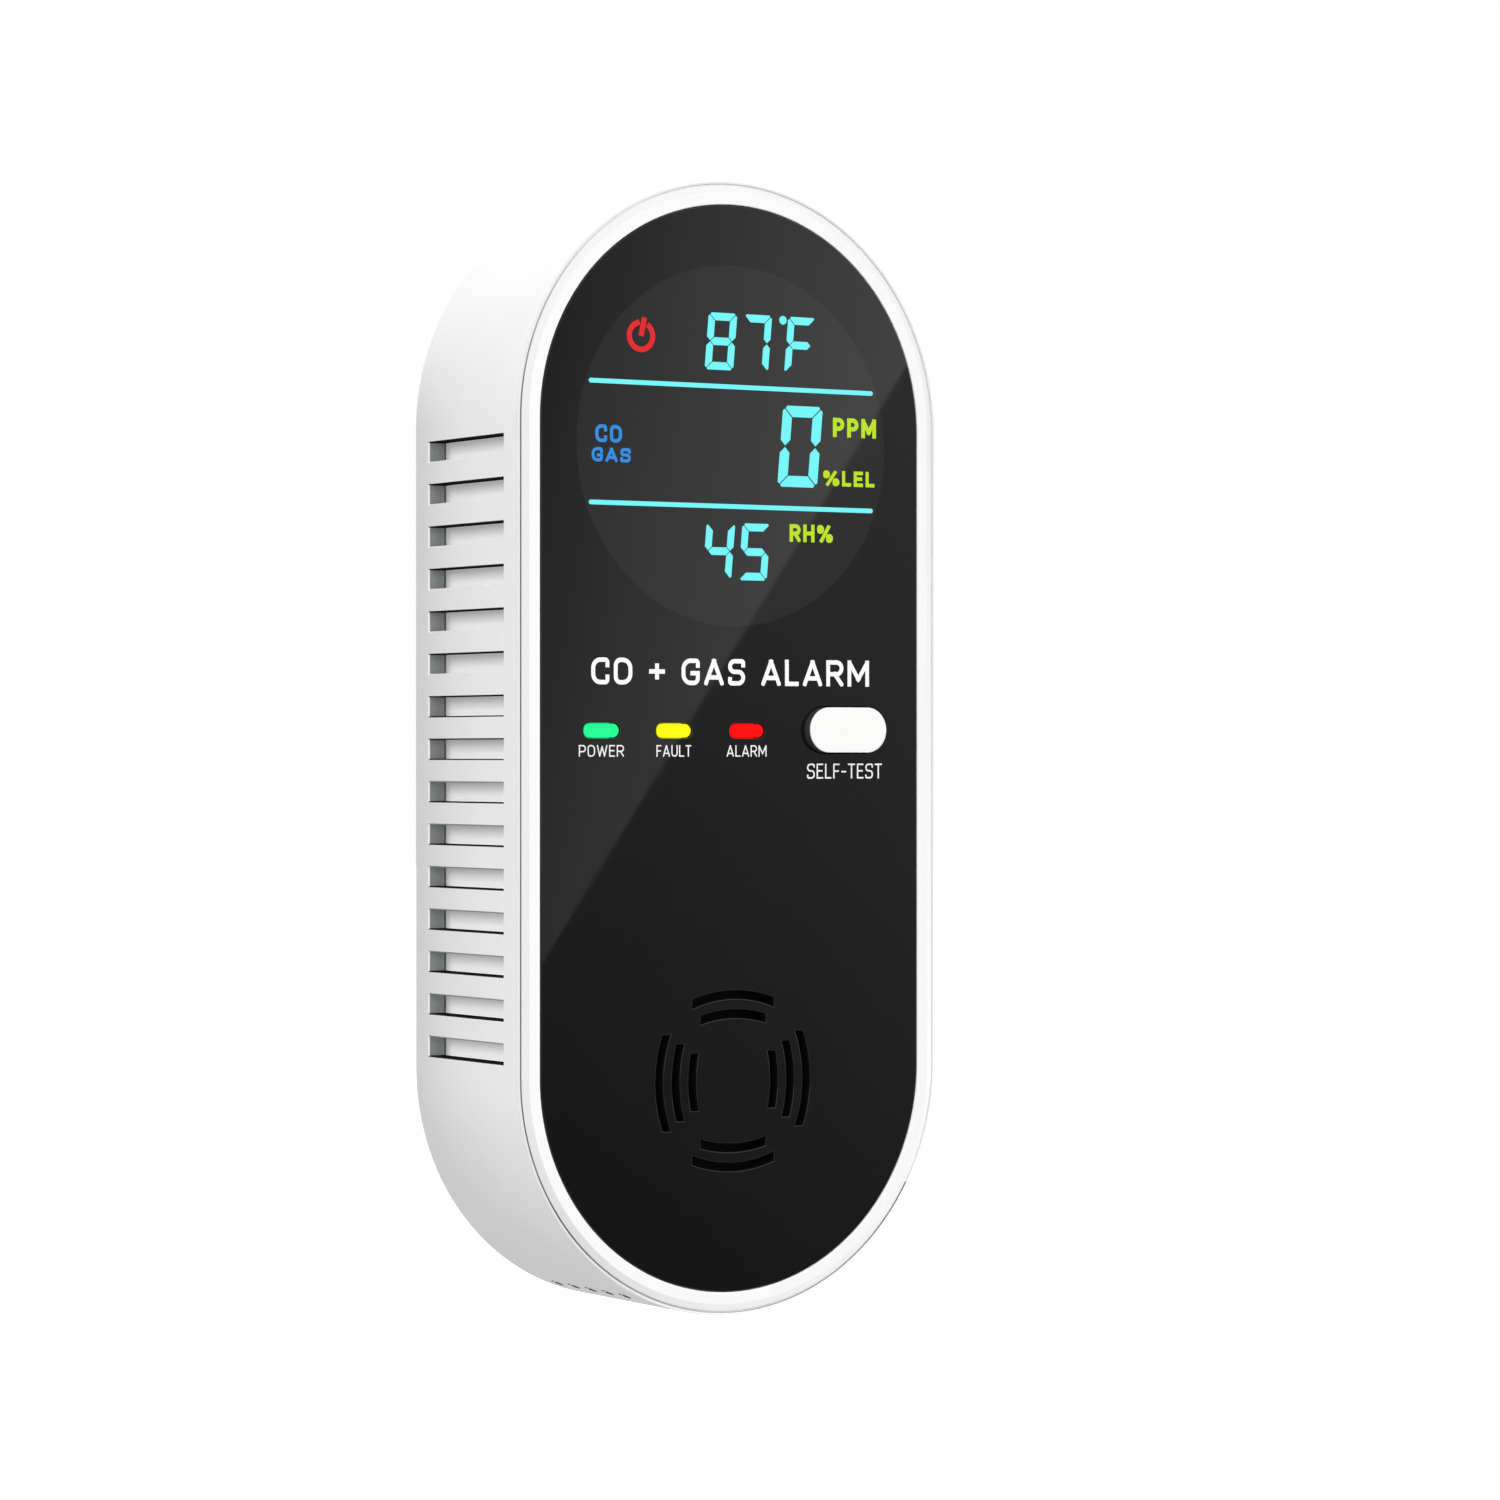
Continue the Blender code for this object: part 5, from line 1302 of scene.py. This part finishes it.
def printed_labels():
    """A plain title under the display, and the names of the lights and the button."""
    middle = MIDDLE_Z
    title_x = (-17.6 * MM, 17.4 * MM)
    print_text("title", "CO + GAS ALARM", title_x, (middle + 6.75 * MM, middle + 9.6 * MM), 0.165, TITLE)
    label_z = (middle - 0.9 * MM, middle + 0.33 * MM)
    for text, x_range in (
        ("POWER", (-19.1 * MM, -13.61 * MM)),
        ("FAULT", (-9.6 * MM, -5.3 * MM)),
        ("ALARM", (-0.84 * MM, 4.19 * MM)),
    ):
        print_text(f"{text.lower()}_label", text, x_range, label_z, 0.105, LABEL)
    test_z = (middle - 3.29 * MM, middle - 1.66 * MM)
    test_x = (BUTTON_X - 4.65 * MM, BUTTON_X + 5.05 * MM)
    print_text("test_label", "SELF-TEST", test_x, test_z, 0.1, LABEL)


# ---- plug


def plug_head():
    profile = rounded(
        [
            (POINT, HUB_FRONT, 0.0),
            (HUB_RADIUS, HUB_FRONT, SOFT),
            (HUB_RADIUS, HEAD_FRONT, 0.0),
            (PLUG_RADIUS, HEAD_FRONT, SOFT),
            (PLUG_RADIUS, HEAD_BACK, 0.6 * MM),
            (POINT, HEAD_BACK, 0.0),
        ],
        steps=6,
        closed=False,
    )
    lugs = [
        flat([sector(HUB_RADIUS - OVER, LUG_RADIUS, angle, LUG_ANGLE)], HUB_FRONT + 0.01 * MM, LUG_BACK)
        for angle in bayonet_angles(BAYONET_TWIST)
    ]
    room = LATCH_PIN_RADIUS + GAP
    margin = 2 * room / -LATCH_PIN_Z
    middle = -math.pi / 2 + BAYONET_TWIST / 2
    groove_outline = sector(-LATCH_PIN_Z - room, -LATCH_PIN_Z + room, middle, BAYONET_TWIST + margin)
    cut = [flat([groove_outline], HEAD_FRONT - OVER, HEAD_FRONT + LATCH_GROOVE)]
    for name in BLADES:
        low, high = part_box(name)
        sides = grown((low.x, high.x, low.z, high.z), FINE_GAP)
        cut.append(flat([box_outline(*sides)], HUB_FRONT - OVER, HEAD_BACK + OVER))
    mesh = carve(turned(profile, steps=ROUND_STEPS), [PLUG], joined=lugs, cut=cut)
    piece("plug_head_body", mesh, "plug_head", PLUG, ["plug_head"])


def blade(low, high, middle_x):
    """A flat blade with a round tip."""
    half = (high.z - low.z) / 2
    sweep = math.asin(half / BLADE_TIP_RADIUS)
    tip = arc(high.y - BLADE_TIP_RADIUS, 0.0, BLADE_TIP_RADIUS, -sweep, 2 * sweep, 24)
    outline = [(low.y, -half)] + tip + [(low.y, half)]
    thick = (high.x - low.x) / 2
    return loft([[(middle_x + side * thick, y, z) for y, z in outline] for side in (-1, 1)])


def tip_bevels(low, high, middle_x):
    """Wedges that slope both faces of a blade towards its tip."""
    thick = (high.x - low.x) / 2
    start = high.y - BLADE_BEVEL
    slope = (thick - BLADE_TIP_HALF) / (high.y - start)
    wedges = []
    for side in (-1, 1):
        corners = [
            (start, side * thick),
            (high.y + OVER, side * (BLADE_TIP_HALF - slope * OVER)),
            (high.y + OVER, side * (thick + OVER)),
            (start, side * (thick + OVER)),
        ]
        heights = (low.z - OVER, high.z + OVER)
        wedges.append(loft([[(middle_x + x, y, z) for y, x in corners] for z in heights]))
    return wedges


def blades():
    """The two blades, with broken edges, bevelled tips and detent holes."""
    for name in BLADES:
        low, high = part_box(name)
        middle_x = (low.x + high.x) / 2
        hole = bmesh.new()
        along_x = Matrix.Rotation(math.pi / 2, 4, "Y")
        place = Matrix.Translation((middle_x, high.y - BLADE_HOLE, 0.0)) @ along_x
        add_rod(hole, BLADE_HOLE_RADIUS, 4 * MM, place, 64)
        mesh = carve(blade(low, high, middle_x), [BLADE], cut=[hole, *tip_bevels(low, high, middle_x)])
        item = piece(name + "_prong", mesh, "plug_head", BLADE, [name], weighted=False)
        edge = item.modifiers.new("Bevel", "BEVEL")
        edge.width = 0.1 * MM
        edge.segments = 2
        edge.limit_method = "ANGLE"
        item.modifiers.new("Weighted Normal", "WEIGHTED_NORMAL").keep_sharp = True


# ---- stage


def floor_material():
    """Pale matt paper, lifted towards white where the camera sees it."""
    nodes = finish("pale_floor", (0.93, 0.93, 0.93), 0.7, mottle=0.004, patch=6.0, grain=(900.0, 0.00002))
    seen = nodes.add("ShaderNodeLightPath").outputs["Is Camera Ray"]
    nodes.tint(seen, (0.42, 0.42, 0.42), nodes.tone())
    nodes.set(Emission_Color=(1.0, 1.0, 1.0, 1.0))
    nodes.feed("Emission Strength", nodes.span(seen, 0.0, 0.6, 0.0, 1.0))
    return nodes.material


def sheet(name, corners, material):
    """A flat four-cornered piece of the stage."""
    mesh = bpy.data.meshes.new(name)
    mesh.from_pydata(corners, [], [(0, 1, 2, 3)])
    mesh.materials.append(material)
    item = placed(name, mesh)
    return item


def floor():
    reach = 6.0
    height = CAD_BOX[0].z - 110 * MM
    outline = box_outline(-reach, reach, -reach, reach)
    sheet("floor", [(x, y, height) for x, y in outline], floor_material())


CAMERA_PLACE = Vector((-0.2651, -0.4662, -0.0354))
CAMERA_TURN = math.radians(31.69)
CAMERA_TILT = math.radians(0.065)
CAMERA_LENS = 113.27
CARD_Y = -0.62
GLARE_DIM_PLACE = Vector((17 * MM, -67 * MM))
DOME_FRONT = (0.25, -0.48, 0.6)
DOME_DIM = 0.0
DOME_BRIGHT = 1.8


def camera():
    data = bpy.data.cameras.new("camera")
    data.lens = CAMERA_LENS
    data.sensor_width = 36.0
    item = placed("camera", data)
    item.location = CAMERA_PLACE
    item.rotation_euler = (math.pi / 2 + CAMERA_TILT, 0.0, -CAMERA_TURN)
    bpy.context.scene.camera = item


def area_light(name, place, target, size, power):
    data = bpy.data.lights.new(name, "AREA")
    data.shape = "RECTANGLE"
    data.size, data.size_y = size
    data.energy = power
    item = placed(name, data)
    item.location = place
    item.rotation_euler = (Vector(target) - Vector(place)).to_track_quat("-Z", "Y").to_euler()
    item.visible_camera = False
    item.visible_glossy = False


def world():
    """White behind the object. A dome that is brightest in front lights it from all sides."""
    data = bpy.data.worlds.new("studio")
    nodes = Nodes(data, "Background")
    towards = nodes.add("ShaderNodeVectorMath", operation="DOT_PRODUCT")
    towards.inputs[1].default_value = Vector(DOME_FRONT).normalized()
    nodes.link(nodes.places["Generated"], towards.inputs[0])
    fade = nodes.span(towards.outputs["Value"], DOME_DIM, DOME_BRIGHT, -1.0, 1.0)
    strength = nodes.add("ShaderNodeMix")
    numbers = [socket for socket in strength.inputs if socket.type == "VALUE"]
    nodes.link(nodes.add("ShaderNodeLightPath").outputs["Is Camera Ray"], numbers[0])
    nodes.link(fade, numbers[1])
    numbers[2].default_value = 1.0
    result = [socket for socket in strength.outputs if socket.type == "VALUE"][0]
    nodes.feed("Strength", result)
    nodes.set(Color=(1.0, 1.0, 1.0, 1.0))
    bpy.context.scene.world = data


def mirrored(x, z, card_y):
    """Where the camera, mirrored in the window, sees the window's point (x, z) on a card."""
    eye = Vector((CAMERA_PLACE.x, 2 * FRONT_Y - CAMERA_PLACE.y, CAMERA_PLACE.z))
    point = Vector((x, FRONT_Y, z))
    share = (card_y - eye.y) / (point.y - eye.y)
    return eye + (point - eye) * share


def card(name, corners, brightness):
    """A glowing card that only reflections see, whose brightness changes evenly over the window."""
    nodes = Nodes(bpy.data.materials.new(name))
    stored = nodes.add("ShaderNodeAttribute", attribute_name="brightness")
    least = nodes.add("ShaderNodeMath", operation="MAXIMUM")
    nodes.link(stored.outputs["Fac"], least.inputs[0])
    least.inputs[1].default_value = 0.02
    nodes.feed("Emission Strength", least.outputs[0])
    nodes.set(Base_Color=(0.0, 0.0, 0.0, 1.0), Emission_Color=(1.0, 1.0, 1.0, 1.0))
    item = sheet(name, [mirrored(x, z, CARD_Y) for x, z in corners], nodes.material)
    values = item.data.attributes.new("brightness", "FLOAT", "POINT").data
    for value, corner in zip(values, corners):
        value.value = brightness(*corner)
    item.visible_camera = False
    item.visible_diffuse = False
    item.visible_shadow = False


def glare_cards():
    """Two cards behind the camera, whose common edge slants across the glossy window."""
    upper = Vector((22.5 * MM, 7.7 * MM))
    lower = Vector((-11.84 * MM, -40.78 * MM))
    along = (upper - lower).normalized()
    across = Vector((-along.y, along.x)) * 0.09
    start = lower - along * 0.06
    end = upper + along * 0.06

    def bright(x, z):
        return 0.66 + 20.4 * (x - lower.x) - 4.0 * (z - lower.y)

    def dim(x, z):
        return 0.20 + 2.7 * (x - GLARE_DIM_PLACE.x) + 3.35 * (z - GLARE_DIM_PLACE.y)

    card("bright_card", [start, end, end + across, start + across], bright)
    card("dim_card", [start, end, end - across, start - across], dim)


def side_flag():
    """A black flag just behind the vented side, which keeps the light from behind off its rear edge."""
    gap = 1.5 * MM
    width = 9 * MM
    x0, x1 = CASE_LOW.x - gap - width, CASE_LOW.x - gap
    y = y_at(BODY_DEPTH + 1.5 * MM)
    corners = box_outline(x0, x1, CASE_LOW.z - 25 * MM, UPPER_Z + 6 * MM)
    item = sheet("side_flag", [(x, y, z) for x, z in corners], DEEP)
    item.visible_camera = False
    item.visible_glossy = False


def lights():
    """A near strip that shades the vented side from front to rear, and a soft light on the back."""
    strip_z = MIDDLE_Z + 22 * MM
    beside = (CASE_LOW.x - 49 * MM, y_at(-15 * MM), strip_z)
    area_light("side_strip", beside, (CASE_LOW.x, y_at(15 * MM), strip_z), (0.015, 0.22), 0.0155)
    area_light("back_light", (0.35, 1.1, 0.3), (0.0, 0.0, MIDDLE_Z), (0.8, 0.8), 4.0)


def stage():
    floor()
    camera()
    world()
    glare_cards()
    side_flag()
    lights()
    bpy.context.scene.view_settings.view_transform = "Standard"


# ---- carried-over nodes

# For each class in the record: roughness, metallic, tone variation, gloss variation, and grain
CLASS_FINISHES = {
    "matte_plastic": (0.55, 0.0, 0.05, 0.08, (3600.0, 0.000006)),
    "gloss_plastic": (0.25, 0.0, 0.05, 0.06, (1400.0, 0.000002)),
    "rubber": (0.85, 0.0, 0.1, 0.05, (2400.0, 0.00002)),
    "brushed_steel": (0.3, 1.0, 0.05, 0.08, (5200.0, 0.000002)),
    "brass": (0.28, 1.0, 0.08, 0.08, (4200.0, 0.000002)),
    "chrome": (0.18, 1.0, 0.03, 0.05, (5200.0, 0.000001)),
}
# Slots that lie in shadow behind the sounder grille, painted darker as painted shade
PAINTED_SHADE_SLOTS = ("sounder_black", "gasket_foam")


def traces(nodes):
    """Copper tracks under a board's solder mask, as lighter raised lines."""
    grid = nodes.add("ShaderNodeTexVoronoi", feature="DISTANCE_TO_EDGE")
    grid.inputs["Scale"].default_value = 260.0
    grid.inputs["Randomness"].default_value = 0.6
    nodes.link(nodes.place, grid.inputs["Vector"])
    lines = nodes.span(grid.outputs["Distance"], 1.0, 0.0, 0.04, 0.09)
    nodes.tint(lines, nodes.tone(), srgb(30, 128, 74))
    nodes.bump(lines, 0.00003)


def windings(nodes):
    """Wraps of tape round the transformer's winding."""
    split = nodes.add("ShaderNodeTexWave", bands_direction="Z")
    split.inputs["Scale"].default_value = 160.0
    split.inputs["Distortion"].default_value = 0.6
    nodes.link(nodes.place, split.inputs["Vector"])
    nodes.bump(split.outputs["Fac"], 0.00004)


def record_finish(entry):
    """A surface for one of the record's materials, from its colour and class."""
    roughness, metallic, mottle, spread, grain = CLASS_FINISHES[entry["class"]]
    colour = srgb(*[255 * channel for channel in entry["base_color"]])
    # Painted shade behind the sounder grille.
    if entry["slot"] in PAINTED_SHADE_SLOTS:
        colour = scaled(colour, 0.25)
    nodes = finish("record_" + entry["slot"], colour, roughness, metallic, mottle, spread, grain, 260.0)
    if entry["slot"] in PAINTED_SHADE_SLOTS:
        nodes.set(Specular_IOR_Level=0.1)
    if entry["slot"] == "board_green":
        traces(nodes)
    if entry["slot"] == "transformer_tape":
        windings(nodes)
    return nodes.material


def carried_nodes():
    """Every CAD node that still shows gets the finish of its slot in the record."""
    record = frame["record"]
    entries = {entry["slot"]: entry for entry in record["materials"]}
    made = {}
    for part in record["subparts"]:
        item = frame["nodes"][part["node"]]
        if item.hide_render:
            continue
        slot = part["material_slot"]
        if slot not in made:
            made[slot] = record_finish(entries[slot])
        item.data.materials.clear()
        item.data.materials.append(made[slot])


rear_housing()
front_bezel()
front_window()
light_pipes()
test_button()
release_latch()
latch_spring()
case_screws()
display_readings()
power_mark()
printed_labels()
plug_head()
blades()
carried_nodes()
stage()
